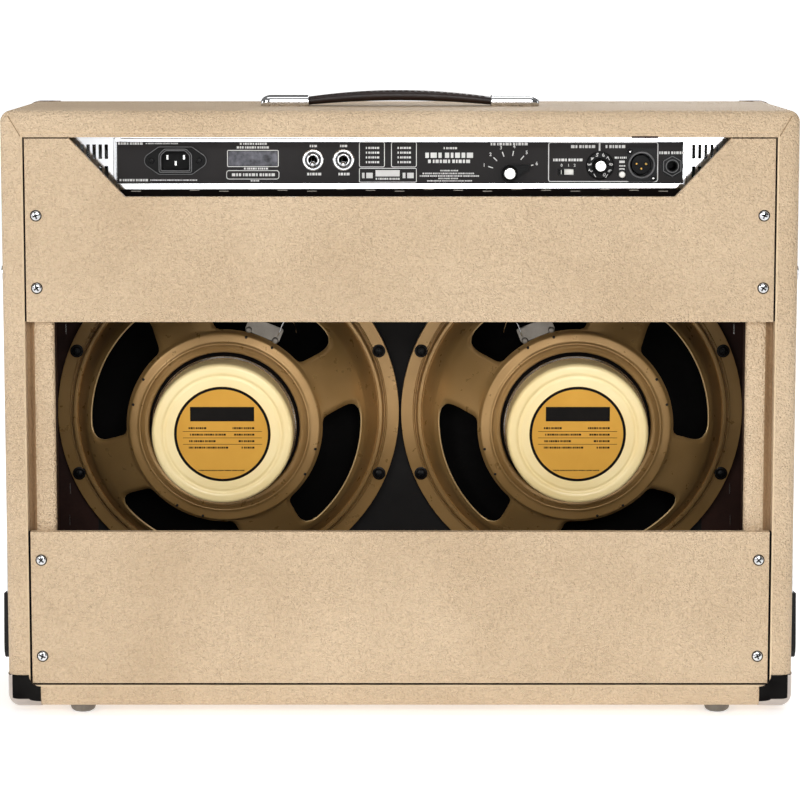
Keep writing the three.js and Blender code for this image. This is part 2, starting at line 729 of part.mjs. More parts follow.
// A pointer knob: a round body drawn out to one side, on its shaft. The pointer runs along -X.
function pointerKnob() {
  const [radius, tip, tipHalf] = [7, 18, 1];
  const touch = Math.acos((radius - tipHalf) / tip);
  const shape = new THREE.Shape();
  shape.absarc(0, 0, radius, touch - Math.PI, Math.PI - touch, false);
  shape.lineTo(-tip, tipHalf);
  shape.lineTo(-tip, -tipHalf);
  const shaft = roundBar(3, -14, KNOB_LIFT + 1, 0, 0);
  return join(plate(shape, KNOB_LIFT, 12, 4), shaft);
}

const POINTER_REST = THREE.MathUtils.degToRad(19);
const outputKnob = add(rear, "output_power_knob", pointerKnob(), MATERIAL.blackPlastic);
outputKnob.position.set(OUTPUT_KNOB[0], 0, OUTPUT_KNOB[1]);
outputKnob.rotation.y = POINTER_REST;

add(rear, "line_level_knob", skirtedKnob(1, 11.8, 12), MATERIAL.blackPlastic).position.set(
  LEVEL_KNOB[0],
  0,
  LEVEL_KNOB[1],
);
for (const [name, x] of Object.entries(FRONT_KNOBS)) {
  const knob = skirtedKnob(-1, 12.5, 16);
  add(controls, `knob_${name}`, knob, MATERIAL.blackPlastic).position.set(x, 0, FRONT_ROW);
}

// A bat-shaped toggle lever. Its pivot is at 0, behind the panel, and it leans down at rest.
const TOGGLE_PIVOT = 5;
const TOGGLE_LEAN = THREE.MathUtils.degToRad(12);
const TOGGLE_OUTLINE = [[0, -4], [1.6, -3], [1.3, 4], [2.6, 15], [2, 17.5], [0, 18.4]];

for (const [name, [x, z]] of Object.entries({ power: POWER_TOGGLE, mute: MUTE_TOGGLE })) {
  const lever = turned(TOGGLE_OUTLINE, 8);
  const mesh = add(rear, `${name}_toggle_lever`, lever, MATERIAL.chrome);
  mesh.position.set(x, -TOGGLE_PIVOT, z);
  mesh.rotation.x = -TOGGLE_LEAN;
}
for (const [name, x] of Object.entries(BRIGHT_SWITCHES)) {
  const lever = turned(facing(-1, TOGGLE_OUTLINE), 8);
  const mesh = add(controls, `${name}_bright_lever`, lever, MATERIAL.chrome);
  mesh.position.set(x, TOGGLE_PIVOT, FRONT_ROW);
  mesh.rotation.x = TOGGLE_LEAN;
}

// The slider stands at the end of its slot that is nearest the panel's middle.
const SLIDER = { width: 4.6, height: 4.4, proud: 2, behind: 6, rest: 4.1 };
add(
  rear,
  "cab_sim_slider",
  block(
    [-SLIDER.width / 2, SLIDER.width / 2],
    [-SLIDER.behind, SLIDER.proud],
    [-SLIDER.height / 2, SLIDER.height / 2],
  ),
  MATERIAL.blackPlastic,
).position.set(SLIDE_SWITCH[0] + SLIDER.rest, 0, SLIDE_SWITCH[1]);

const BUTTON_OUTLINE = [[0, -9], [2.7, -9], [2.7, 3.2], [2.2, 4], [0, 4]];
add(rear, "ground_lift_button", turned(BUTTON_OUTLINE, 10), MATERIAL.ivory).position.set(
  LIFT_BUTTON[0],
  0,
  LIFT_BUTTON[1],
);

const LAMP_OUTLINE = [[0, -18], [6.5, -18], [6.5, FIT_GAP], [9, FIT_GAP], [8.5, 2.5], [6.2, 3], [4.5, 7], [0, 8.5]];
add(controls, "pilot_lamp", turned(facing(-1, LAMP_OUTLINE), 12), MATERIAL.jewel).position.set(
  PILOT_LAMP,
  0,
  FRONT_ROW,
);

// ---------------------------------------------------------------- boards and loom

const CHASSIS_FLOOR = CHASSIS.bottom + SHEET;
const STANDOFF = 5;
const BOARD_SHEET = 1.6;

// A circuit board on four posts, with blocks for its tall parts: [x range, y range, height].
function circuitBoard([x0, x1], [y0, y1], parts) {
  const floor = CHASSIS_FLOOR + FIT_GAP;
  const face = CHASSIS_FLOOR + STANDOFF;
  const posts = [x0 + 6, x1 - 6].flatMap((x) =>
    [y0 + 6, y1 - 6].map((y) => block([x - 3, x + 3], [y - 3, y + 3], [floor, face + 0.5])),
  );
  const tall = parts.map(([xs, ys, height]) => block(xs, ys, [face + 0.5, face + BOARD_SHEET + height]));
  return join(block([x0, x1], [y0, y1], [face, face + BOARD_SHEET]), ...posts, ...tall);
}

add(
  cabinet,
  "power_supply_board",
  circuitBoard([110, 270], [-62, 70], [
    [[150, 192], [-20, 18], 27],
    [[215, 237], [20, 42], 25],
    [[215, 237], [-12, 10], 25],
    [[125, 140], [30, 50], 16],
  ]),
  MATERIAL.board,
);
add(
  cabinet,
  "amplifier_board",
  circuitBoard([-270, 90], [-62, 45], [
    [[-60, 40], [-20, -4], 30],
    [[-30, 10], [20, 34], 12],
    [[-180, -150], [-10, 20], 4],
    [[-240, -222], [10, 28], 14],
  ]),
  MATERIAL.board,
);

// The speaker leads run from one basket's terminals up through the chassis floor and down to the other's.
const TERMINAL = [119, 6, 318];
const LOOM_HALF = [
  TERMINAL,
  [116, 14, 334],
  [98, 34, 372],
  [62, 52, 408],
  [26, 59, 426],
  [LOOM_HOLE.x, LOOM_HOLE.y, 438],
  [LOOM_HOLE.x - 1, LOOM_HOLE.y, 450],
];
const LOOM_RADIUS = 2.5;

function speakerLoom() {
  const half = LOOM_HALF.map(([x, y, z]) => new THREE.Vector3(x, y, z));
  const top = new THREE.Vector3(0, LOOM_HOLE.y, 460);
  const other = half.map(({ x, y, z }) => new THREE.Vector3(-x, y, z)).reverse();
  const route = new THREE.CatmullRomCurve3([...half, top, ...other]);
  const section = new THREE.Shape();
  section.absarc(0, 0, LOOM_RADIUS, 0, 2 * Math.PI, false);
  return new THREE.ExtrudeGeometry(section, { steps: 36, curveSegments: 4, extrudePath: route });
}

add(cabinet, "speaker_cable", speakerLoom(), MATERIAL.rubber);

export default amplifier;
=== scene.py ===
"""Visual model of an open-backed guitar combo amplifier with two loudspeakers.

Drawing dimensions are in millimetres and become metres when a mesh is made. +Z is up, the back faces +Y and
the front faces -Y. Seen from the back, +X is on the left.
"""

import math

import bmesh
import bpy
import numpy as np
from mathutils import Matrix, Vector


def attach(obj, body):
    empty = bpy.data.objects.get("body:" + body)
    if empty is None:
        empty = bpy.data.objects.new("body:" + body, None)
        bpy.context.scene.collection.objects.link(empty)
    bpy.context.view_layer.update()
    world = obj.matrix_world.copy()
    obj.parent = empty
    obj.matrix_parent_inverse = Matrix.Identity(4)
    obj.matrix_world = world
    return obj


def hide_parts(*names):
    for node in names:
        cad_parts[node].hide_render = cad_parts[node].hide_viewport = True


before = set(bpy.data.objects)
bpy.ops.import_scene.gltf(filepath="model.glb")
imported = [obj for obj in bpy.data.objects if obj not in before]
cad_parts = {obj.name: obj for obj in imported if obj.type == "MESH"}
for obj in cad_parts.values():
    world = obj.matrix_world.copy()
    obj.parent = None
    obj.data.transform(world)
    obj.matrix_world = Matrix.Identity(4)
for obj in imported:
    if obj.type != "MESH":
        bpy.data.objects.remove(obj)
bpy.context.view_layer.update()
scene = bpy.context.scene

MM = 0.001

# ---------------------------------------------------------------- camera

camera_data = bpy.data.cameras.new("camera")
camera_data.lens = 141.1
camera_data.sensor_width = 36
camera_data.clip_end = 900
camera = bpy.data.objects.new("camera", camera_data)
camera.location = (0, 2.748, 0.6135)
camera.rotation_euler = (math.radians(90 - 7.43), 0, math.pi)
scene.collection.objects.link(camera)
scene.camera = camera

# ---------------------------------------------------------------- dimensions

FOOT_HEIGHT = 8
HALF_WIDTH = 334
TOP = 515
BOARD = 19
BACK = 130.2  # the covering's back face; the corner protectors lie on it
DEPTH = 262
EDGE_RADIUS = 10
LEAN_RISE = 30
CABINET_HEIGHT = 507
LEAN = math.degrees(math.atan(LEAN_RISE / CABINET_HEIGHT))
FRONT_PLANE_FOOT = -131.592

PANEL_FACE = 103  # y of the back control panel's face
FRONT_PANEL_RECESS = 15
FRONT_ROW = 455

SPEAKER_X = {"right": 155.5, "left": -155.5}
SPEAKER_HEIGHT = 230.1
FIRST_WINDOW = {"right": 67.5, "left": 112.5}

# ---------------------------------------------------------------- materials


def linear(red, green, blue):
    """A screen colour of 0 to 255 as the shader wants it."""
    parts = [value / 255 for value in (red, green, blue)]
    return tuple(((c + 0.055) / 1.055) ** 2.4 if c > 0.04 else c / 12.92 for c in parts) + (1.0,)


def noise(tree, place, scale, detail=3.0):
    node = tree.nodes.new("ShaderNodeTexNoise")
    node.inputs["Scale"].default_value = scale
    node.inputs["Detail"].default_value = detail
    tree.links.new(place, node.inputs["Vector"])
    return node.outputs["Fac"]


def pebbles(tree, place, scale):
    node = tree.nodes.new("ShaderNodeTexVoronoi")
    node.feature = "SMOOTH_F1"
    node.inputs["Scale"].default_value = scale
    node.inputs["Smoothness"].default_value = 0.6
    tree.links.new(place, node.inputs["Vector"])
    turned_over = tree.nodes.new("ShaderNodeMath")
    turned_over.operation = "SUBTRACT"
    turned_over.inputs[0].default_value = 1.0
    tree.links.new(node.outputs["Distance"], turned_over.inputs[1])
    return turned_over.outputs[0]


def stripes(tree, place, scale, direction):
    node = tree.nodes.new("ShaderNodeTexWave")
    node.bands_direction = direction
    node.inputs["Scale"].default_value = scale
    node.inputs["Distortion"].default_value = 0.6
    node.inputs["Detail Scale"].default_value = 3.0
    tree.links.new(place, node.inputs["Vector"])
    return node.outputs["Fac"]


def weave(tree, place, scale):
    node = tree.nodes.new("ShaderNodeMath")
    node.operation = "MULTIPLY"
    tree.links.new(stripes(tree, place, scale, "X"), node.inputs[0])
    tree.links.new(stripes(tree, place, scale, "Z"), node.inputs[1])
    return node.outputs[0]


def brushed(tree, place, scale):
    stretch = tree.nodes.new("ShaderNodeMapping")
    stretch.inputs["Scale"].default_value = (0.02, 1.0, 1.0)
    tree.links.new(place, stretch.inputs["Vector"])
    return noise(tree, stretch.outputs["Vector"], scale, 2.0)


RELIEF = {"noise": noise, "pebbles": pebbles, "weave": weave, "brushed": brushed}


def mixed(tree, first, second, share):
    node = tree.nodes.new("ShaderNodeMix")
    node.inputs[0].default_value = share
    tree.links.new(first, node.inputs[2])
    tree.links.new(second, node.inputs[3])
    return node.outputs[0]


def surface(name, dark, light, roughness, drift=9.0, fleck=None, relief=(), **sockets):
    """A material that drifts from a dark to a light tone.

    fleck adds a fine pattern to the colour as (kind, scale, share). relief lists (kind, scale, height in mm).
    """
    material = bpy.data.materials.new(name)
    material.use_nodes = True
    tree = material.node_tree
    shader = tree.nodes["Principled BSDF"]
    for socket, value in sockets.items():
        shader.inputs[socket.replace("_", " ").title().replace("Ior", "IOR")].default_value = value
    place = tree.nodes.new("ShaderNodeTexCoord").outputs["Object"]
    tone = noise(tree, place, drift)
    tone_range = tree.nodes.new("ShaderNodeMapRange")
    tone_range.inputs["From Min"].default_value = 0.3
    tone_range.inputs["From Max"].default_value = 0.7
    tree.links.new(tone, tone_range.inputs["Value"])
    pattern = tone_range.outputs["Result"]
    if fleck:
        kind, scale, share = fleck
        pattern = mixed(tree, pattern, RELIEF[kind](tree, place, scale), share)
    ramp = tree.nodes.new("ShaderNodeValToRGB")
    ramp.color_ramp.elements[0].color = linear(*dark)
    ramp.color_ramp.elements[1].color = linear(*light)
    tree.links.new(pattern, ramp.inputs["Fac"])
    tree.links.new(ramp.outputs["Color"], shader.inputs["Base Color"])
    gloss = tree.nodes.new("ShaderNodeMapRange")
    gloss.inputs["To Min"].default_value, gloss.inputs["To Max"].default_value = roughness
    tree.links.new(noise(tree, place, drift * 7), gloss.inputs["Value"])
    tree.links.new(gloss.outputs["Result"], shader.inputs["Roughness"])
    normal = None
    for kind, scale, height in relief:
        bump = tree.nodes.new("ShaderNodeBump")
        bump.inputs["Distance"].default_value = height * MM
        tree.links.new(RELIEF[kind](tree, place, scale), bump.inputs["Height"])
        if normal:
            tree.links.new(normal, bump.inputs["Normal"])
        normal = bump.outputs["Normal"]
    if normal:
        tree.links.new(normal, shader.inputs["Normal"])
    return material


VINYL = surface(
    "pebbled_vinyl", (190, 163, 130), (221, 196, 164), (0.45, 0.6), 7, ("pebbles", 560, 0.5),
    [("pebbles", 560, 1.9), ("noise", 1300, 0.4)], specular_ior_level=0.5,
)
# A lighter vinyl, painted on turned edges and bevels as a highlight.
VINYL_HIGHLIGHT = surface(
    "vinyl_painted_edge_highlight", (206, 181, 146), (228, 205, 172), (0.45, 0.6), 20, ("pebbles", 480, 0.4),
    [("pebbles", 480, 0.3)],
)
# A darker vinyl, painted into the batten's fold as the side board's shadow.
VINYL_FOLD_SHADE = surface(
    "vinyl_painted_fold_shade", (128, 101, 72), (158, 129, 97), (0.6, 0.75), 12, ("pebbles", 480, 0.4),
    [("pebbles", 480, 0.6)], specular_ior_level=0.2,
)
VINYL_SEAM = surface("vinyl_seam", (110, 86, 58), (140, 114, 80), (0.6, 0.8), 40)
STAIN = surface(
    "stained_inside", (30, 15, 11), (58, 34, 26), (0.6, 0.8), 30, ("noise", 700, 0.4), [("noise", 900, 0.12)],
    specular_ior_level=0.2,
)
# Near black, painted into gaps and hollows as shade.
SHADE = surface(
    "painted_shade", (7, 4, 3), (14, 8, 6), (0.8, 0.95), 60, ("noise", 900, 0.4), [("noise", 1500, 0.1)],
    specular_ior_level=0.1,
)
BAFFLE_PAINT = surface(
    "baffle_paint", (21, 20, 20), (33, 31, 30), (0.65, 0.85), 12, ("noise", 240, 0.3), [("noise", 500, 0.08)],
    specular_ior_level=0.15,
)
CLOTH = surface(
    "woven_grille_cloth", (120, 92, 52), (214, 182, 128), (0.75, 0.95), 5, ("weave", 210, 0.75),
    [("weave", 210, 0.35), ("noise", 2500, 0.1)], sheen_weight=0.3,
)
PIPING = surface(
    "ivory_piping", (214, 204, 178), (232, 224, 202), (0.4, 0.55), 30, None, [("noise", 900, 0.05)]
)
BRONZE = surface(
    "bronze_paint", (152, 118, 70), (178, 141, 90), (0.24, 0.34), 14, None, [("noise", 2200, 0.02)],
    metallic=0.4,
)
# A lighter bronze, painted on the cut edges of the basket's windows as a highlight.
BRONZE_HIGHLIGHT = surface(
    "bronze_painted_edge_highlight", (196, 164, 112), (222, 190, 138), (0.25, 0.35), 40, metallic=0.3
)
CREAM = surface(
    "cream_paint", (246, 220, 158), (253, 232, 176), (0.26, 0.36), 18, None, [("noise", 300, 0.02)],
    coat_weight=0.2,
)
LABEL = surface(
    "label_gold", (204, 149, 52), (218, 163, 64), (0.45, 0.55), 25, ("noise", 1500, 0.3),
    specular_ior_level=0.2,
)
# Black print, also painted into screw recesses as shade.
INK_AND_SHADE = surface("black_ink_and_painted_recess_shade", (9, 7, 5), (18, 14, 10), (0.5, 0.65), 60, specular_ior_level=0.1)
PAPER = surface(
    "cone_paper", (5, 4, 4), (13, 12, 11), (0.85, 1.0), 30, ("noise", 900, 0.4), [("noise", 700, 0.15)],
    specular_ior_level=0.1,
)
CHROME = surface(
    "chrome", (205, 206, 208), (226, 227, 229), (0.05, 0.12), 25, None, [("noise", 60, 0.02)], metallic=1.0
)
# Chrome darkened to a warm grey as a painted reflection, on the corner protectors.
WARM_REFLECTION_CHROME = surface(
    "chrome_painted_warm_reflection", (164, 153, 145), (196, 186, 178), (0.1, 0.18), 25, None, [("noise", 60, 0.02)], metallic=1.0
)
# Chrome painted near black as shade.
SHADED_CHROME = surface(
    "chrome_in_shade", (16, 15, 15), (30, 29, 28), (0.08, 0.16), 30, None, [("noise", 60, 0.02)], metallic=1.0
)
BRIGHT_STEEL = surface(
    "rolled_steel", (196, 197, 199), (226, 227, 229), (0.08, 0.14), 12, ("brushed", 900, 0.3),
    [("brushed", 1500, 0.006)], metallic=1.0,
)
DULL_METAL = surface(
    "dull_metal", (104, 98, 90), (140, 134, 126), (0.35, 0.5), 60, ("noise", 900, 0.4),
    [("noise", 800, 0.03)], metallic=0.8,
)
ALUMINIUM = surface(
    "turned_aluminium", (206, 206, 204), (232, 232, 230), (0.2, 0.3), 60, ("brushed", 2500, 0.3),
    metallic=1.0,
)
BRASS = surface("brass", (196, 150, 70), (226, 184, 100), (0.2, 0.35), 80, metallic=1.0)
STRAP = surface(
    "brown_strap", (17, 8, 6), (36, 19, 14), (0.3, 0.45), 22, ("noise", 500, 0.3),
    [("pebbles", 900, 0.12), ("noise", 400, 0.05)], specular_ior_level=0.3,
)
THREAD = surface("strap_thread", (40, 22, 16), (66, 40, 28), (0.7, 0.85), 200, None, [("noise", 3000, 0.1)])
RUBBER = surface(
    "black_rubber", (13, 13, 13), (24, 24, 24), (0.55, 0.75), 40, None, [("noise", 900, 0.06)],
    specular_ior_level=0.25,
)
PANEL = surface(
    "charcoal_panel", (34, 32, 32), (42, 40, 40), (0.45, 0.6), 14, ("noise", 2200, 0.35),
    [("noise", 2600, 0.015)], specular_ior_level=0.12,
)
BLACK_PLASTIC = surface(
    "black_plastic", (6, 6, 6), (13, 13, 13), (0.32, 0.45), 40, None, [("noise", 1200, 0.015)],
    specular_ior_level=0.12,
)
BLACK_METAL = surface(
    "black_oxide", (9, 9, 10), (20, 20, 21), (0.35, 0.5), 60, None, [("noise", 900, 0.02)],
    specular_ior_level=0.2,
)
# Grey metal for real parts, also laid as thin lines on black edges as a painted highlight.
GREY_METAL_AND_HIGHLIGHT = surface(
    "grey_metal_and_painted_highlight", (78, 78, 79), (104, 104, 105), (0.3, 0.42), 60, None, [("noise", 900, 0.02)]
)
IVORY = surface(
    "ivory_plastic", (232, 229, 220), (246, 244, 238), (0.3, 0.45), 60, None, [("noise", 900, 0.01)]
)
PRINT = surface("white_print", (200, 200, 198), (224, 224, 222), (0.5, 0.65), 80, ("noise", 2500, 0.3))
PLATE_STICKER = surface("blank_plate", (16, 16, 20), (96, 96, 104), (0.3, 0.45), 160, metallic=0.4)
JEWEL = surface(
    "red_jewel", (150, 8, 10), (200, 22, 20), (0.05, 0.12), 60, coat_weight=0.6, transmission_weight=0.3
)
SOLDER_MASK = surface(
    "solder_mask", (18, 58, 36), (30, 80, 50), (0.35, 0.5), 30, ("brushed", 1400, 0.4), [("noise", 600, 0.05)]
)
FLOOR = surface("pale_floor", (243, 243, 243), (248, 248, 248), (0.7, 0.8), 0.6)

# ---------------------------------------------------------------- outlines and parts
# A part is (points, faces): an array of points in mm and lists of point numbers.


def arc(x, z, radius, start, end, steps):
    angles = np.radians(np.linspace(start, end, steps + 1))
    return [(x + radius * math.cos(a), z + radius * math.sin(a)) for a in angles]


def bend(first, corner, last, start, end, steps):
    """Points of the curve that leaves first towards corner and arrives at last."""
    return [
        (1 - t) ** 2 * first + 2 * t * (1 - t) * corner + t * t * last
        for t in np.linspace(start, end, steps + 1)
    ]


def softened(points, cut, closed=False):
    """The same line with each corner drawn round, from up to cut before it to cut after it."""
    corners = [np.array(point, float) for point in points]
    result = []
    for i, corner in enumerate(corners):
        if not closed and i in (0, len(corners) - 1):
            result.append(tuple(corner))
            continue
        ends = []
        for other in (corners[i - 1], corners[(i + 1) % len(corners)]):
            way = other - corner
            ends.append(corner + way * min(cut / np.hypot(*way), 0.48))
        result.extend(tuple(p) for p in bend(ends[0], corner, ends[1], 0, 1, 4))
    return result


def grid(points, wrap=False):
    rows, columns = points.shape[:2]
    faces = []
    for i in range(rows - 1):
        for j in range(columns if wrap else columns - 1):
            k = (j + 1) % columns
            faces.append((i * columns + j, i * columns + k, (i + 1) * columns + k, (i + 1) * columns + j))
    return points.reshape(-1, 3), faces


def lathe(outline, segments=48, flutes=0, depth=0.0):
    """(radius, y) points turned round the Y axis. Flutes are shallow grooves of that depth."""
    angles = np.arange(segments) * 2 * math.pi / segments
    rows = []
    for radius, y in outline:
        worn = radius - depth * (1 + np.cos(flutes * angles)) / 2 if flutes and radius > 2 else radius
        rows.append(np.column_stack((worn * np.cos(angles), np.full(segments, y), worn * np.sin(angles))))
    return grid(np.array(rows), wrap=True)


def slab(outline, y0, y1):
    """An outline in X and Z, thickened from y0 to y1."""
    n = len(outline)
    points = [(x, y, z) for y in (y0, y1) for x, z in outline]
    faces = [tuple(range(n)), tuple(range(2 * n - 1, n - 1, -1))]
    faces += [(i, (i + 1) % n, n + (i + 1) % n, n + i) for i in range(n)]
    return np.array(points, float), faces


def block(x0, x1, y0, y1, z0, z1):
    return slab([(x0, z0), (x1, z0), (x1, z1), (x0, z1)], y0, y1)


def rounded(x0, x1, z0, z1, radius, steps=5):
    """A rectangle's outline with round corners."""
    return (
        arc(x1 - radius, z1 - radius, radius, 0, 90, steps)
        + arc(x0 + radius, z1 - radius, radius, 90, 180, steps)
        + arc(x0 + radius, z0 + radius, radius, 180, 270, steps)
        + arc(x1 - radius, z0 + radius, radius, 270, 360, steps)
    )


def polygon(sides, radius, start=0.0):
    return arc(0, 0, radius, start, start + 360, sides)[:-1]


def frame_bars(x0, x1, z0, z1, widths, y0, y1):
    """Four bars round a rectangle. widths holds those of the sides, the top and the bottom."""
    side, above, below = widths
    return joined(
        block(x0, x0 + side, y0, y1, z0, z1),
        block(x1 - side, x1, y0, y1, z0, z1),
        block(x0 + side, x1 - side, y0, y1, z1 - above, z1),
        block(x0 + side, x1 - side, y0, y1, z0, z0 + below),
    )


def stroke(start, end, width, y0=0.02, y1=0.12):
    """A straight printed line between two (x, z) points."""
    start, end = np.array(start, float), np.array(end, float)
    along = end - start
    across = np.array([-along[1], along[0]]) / np.hypot(*along) * width / 2
    corners = (start + across, start - across, end - across, end + across)
    return slab([tuple(corner) for corner in corners], y0, y1)


def ring(outline, width, y0=0.02, y1=0.12):
    """A printed line along a closed outline."""
    sides = zip(outline, [*outline[1:], outline[0]])
    apart = [(a, b) for a, b in sides if np.hypot(*np.subtract(a, b)) > 1e-6]
    return joined(*[stroke(a, b, width, y0, y1) for a, b in apart])


def ruled_row(x0, x1, z, height):
    """A row of plain blocks of mixed lengths, in place of small print."""
    lengths = (1.9, 1.1, 1.5, 0.8, 1.3, 1.0)
    scale = height / 1.6
    blocks = []
    x, i = x0, 0
    while x < x1 - 0.6 * scale:
        end = min(x + lengths[i % len(lengths)] * scale, x1)
        blocks.append(block(x, end, 0.02, 0.12, z - height / 2, z + height / 2))
        x = end + (1.0 if i % 5 == 4 else 0.5) * scale
        i += 1
    return joined(*blocks)


def joined(*parts):
    points, faces, first = [], [], 0
    for part_points, part_faces in parts:
        points.append(part_points)
        faces.extend([tuple(first + i for i in face) for face in part_faces])
        first += len(part_points)
    return np.concatenate(points), faces


def at(x, y, z):
    return Matrix.Translation((x, y, z))


def turn(degrees, axis):
    return Matrix.Rotation(math.radians(degrees), 4, axis)


def facing(side):
    """Keeps a part that faces +Y as it is (side 1) or turns it to face -Y (side -1)."""
    return turn(90 - 90 * side, "Z")


def put(part, place):
    """The part carried by a matrix."""
    points, faces = part
    carry = np.array(place)
    return points @ carry[:3, :3].T + carry[:3, 3], faces


def placed(parts, place):
    """(part, material) pairs carried by a matrix."""
    return [(put(part, place), material) for part, material in parts]


def band(first, second):
    """The faces between two closed rings of as many points."""
    n = len(first)
    return np.array([*first, *second], float), [(i, (i + 1) % n, n + (i + 1) % n, n + i) for i in range(n)]


def at_depth(outline, y):
    """(x, z) points at one depth."""
    return [(x, y, z) for x, z in outline]


def split(part, marked):
    """The part's unmarked and marked faces, as two parts."""
    points, faces = part
    groups = [], []
    for face, is_marked in zip(faces, marked):
        groups[is_marked].append(face)
    return [(points, group) for group in groups]


CAPITAL_SHARE = 0.7  # a figure's height as a share of the font's size
_figures = {}


def figure(text, height, side):
    """A number in X and Z, centred, that reads rightly from behind (side 1) or from the front (side -1)."""
    if text not in _figures:
        curve = bpy.data.curves.new("figure", "FONT")
        curve.body = text
        curve.align_x = "CENTER"
        curve.align_y = "CENTER"
        curve.resolution_u = 2
        curve.offset = 0.012
        lettering = bpy.data.objects.new("figure", curve)
        scene.collection.objects.link(lettering)
        bpy.context.view_layer.update()
        mesh = lettering.evaluated_get(bpy.context.evaluated_depsgraph_get()).to_mesh()
        points = np.array([vertex.co for vertex in mesh.vertices], float).reshape(-1, 3)
        _figures[text] = (points, [tuple(face.vertices) for face in mesh.polygons])
        bpy.data.objects.remove(lettering)
    points, faces = _figures[text]
    size = height / CAPITAL_SHARE
    raised = np.full(len(points), side * 0.1)
    return np.column_stack((-side * points[:, 0] * size, raised, points[:, 1] * size)), faces


# ---------------------------------------------------------------- pieces


def make(name, body, parts, replaces=(), bevel=0.0, solid=0.0, towards=None, rim=None):
    """Makes one piece from (part, material) pairs and rides it on a body.

    bevel rounds its edges, solid thickens a skin, rim is the finish of the skin's thickness, painted lighter
    as a highlight, and towards is the way that a skin's outside looks.
    """
    mesh = bpy.data.meshes.new(name)
    materials = []
    points, faces, numbers, first = [], [], [], 0
    for (part_points, part_faces), material in parts:
        if material not in materials:
            materials.append(material)
        points.append(part_points)
        faces.extend([[first + i for i in face] for face in part_faces])
        numbers.extend([materials.index(material)] * len(part_faces))
        first += len(part_points)
    mesh.from_pydata((np.concatenate(points) * MM).tolist(), [], faces)
    mesh.polygons.foreach_set("material_index", numbers)
    if rim and rim not in materials:
        materials.append(rim)
    for material in materials:
        mesh.materials.append(material)
    work = bmesh.new()
    work.from_mesh(mesh)
    bmesh.ops.remove_doubles(work, verts=work.verts, dist=2e-6)
    bmesh.ops.recalc_face_normals(work, faces=work.faces)
    if towards:
        leaning = sum(face.normal.dot(towards) * face.calc_area() for face in work.faces)
        if leaning < 0:
            bmesh.ops.reverse_faces(work, faces=work.faces)
    work.to_mesh(mesh)
    work.free()
    smooth(mesh)
    piece = bpy.data.objects.new(name, mesh)
    scene.collection.objects.link(piece)
    if solid:
        thicken = piece.modifiers.new("thickness", "SOLIDIFY")
        thicken.thickness = solid * MM
        thicken.offset = -1
        if rim:
            thicken.material_offset_rim = 1
    if bevel:
        round_edges(piece, bevel)
    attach(piece, body)
    if replaces:
        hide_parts(*replaces)
    return piece


def smooth(mesh):
    mesh.polygons.foreach_set("use_smooth", [True] * len(mesh.polygons))
    mesh.set_sharp_from_angle(angle=math.radians(38))


def round_edges(piece, width):
    bevel = piece.modifiers.new("edges", "BEVEL")
    bevel.width = width * MM
    bevel.segments = 3
    bevel.limit_method = "ANGLE"
    bevel.angle_limit = math.radians(35)
    bevel.harden_normals = True


def paint_node(name, material, bevel=0.0, edge=None):
    """Gives a carried-over CAD node its finish and, where asked, rounded edges, painted lighter as a
    highlight where an edge finish is given.
    """
    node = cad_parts[name]
    node.data.materials.clear()
    node.data.materials.append(material)
    smooth(node.data)
    if bevel:
        round_edges(node, bevel)
    if edge:
        node.data.materials.append(edge)
        node.modifiers["edges"].material = 1


FRONT = at(0, FRONT_PLANE_FOOT, FOOT_HEIGHT) @ turn(-LEAN, "X")
CONTROLS = FRONT @ at(0, FRONT_PANEL_RECESS, 0)
REAR = at(0, PANEL_FACE, FOOT_HEIGHT)

# ---------------------------------------------------------------- cabinet


def leaned(points):
    """Leans the front of an upright cabinet back, in step with height and with distance from the back."""
    points = np.array(points, float)
    rise = (points[:, 2] - FOOT_HEIGHT - EDGE_RADIUS) / CABINET_HEIGHT
    points[:, 1] += LEAN_RISE * rise * (0.5 - points[:, 1] / DEPTH)
    return points


def cabinet_covering():
    """The four boards as one ring. Its section runs round the board's edge, and the last part lies inside.
    The bevel at the board's inner back edge is painted lighter as a highlight.
    """
    edge = EDGE_RADIUS
    section = [(BOARD, 96.0), (BOARD, BACK - 1.2), (BOARD - 1.2, BACK)]
    section += [(edge + dx, BACK - edge + dy) for dx, dy in arc(0, 0, edge, 90, 180, 8)]
    section += [(edge + dx, -BACK + edge + dy) for dx, dy in arc(0, 0, edge, 180, 270, 8)]
    section += [(BOARD - 1.2, -BACK), (BOARD, -BACK + 1.2), (BOARD, -104.0), (BOARD, 96.0)]
    rows = []
    for inset, y in section:
        corner = max(edge - inset, 0.8)
        outline = rounded(
            inset - HALF_WIDTH, HALF_WIDTH - inset, FOOT_HEIGHT + inset, TOP - inset, corner, 8
        )
        rows.append([(x, y, z) for x, z in outline])
    points, faces = grid(np.array(rows, float), wrap=True)
    per_row = len(rows[0])
    points = leaned(points)
    # The bevel round the inner back edge is painted lighter as a highlight.
    edge_highlight = faces[per_row : 2 * per_row]
    covered = faces[:per_row] + faces[2 * per_row : -per_row]
    inside = faces[-per_row:]
    return [((points, covered), VINYL), ((points, edge_highlight), VINYL_HIGHLIGHT), ((points, inside), STAIN)]


make("cabinet_covering", "cabinet", cabinet_covering(), ["cabinet_shell"])

TOP_LIP = 3.3
lip_base = TOP - BOARD - TOP_LIP
make(
    "top_lip", "cabinet", [(block(-315.2, 315.2, 118, BACK - 0.1, lip_base, TOP - BOARD + 0.6), VINYL)],
    bevel=0.5,
)

# The batten's section from the side board inwards, as (x, y).
BATTEN = softened(
    [(315.2, 116), (312.4, 116), (309, 119.6), (305.5, 121), (293.5, 121), (291.5, 118.6), (291.5, 101)], 2.2
)


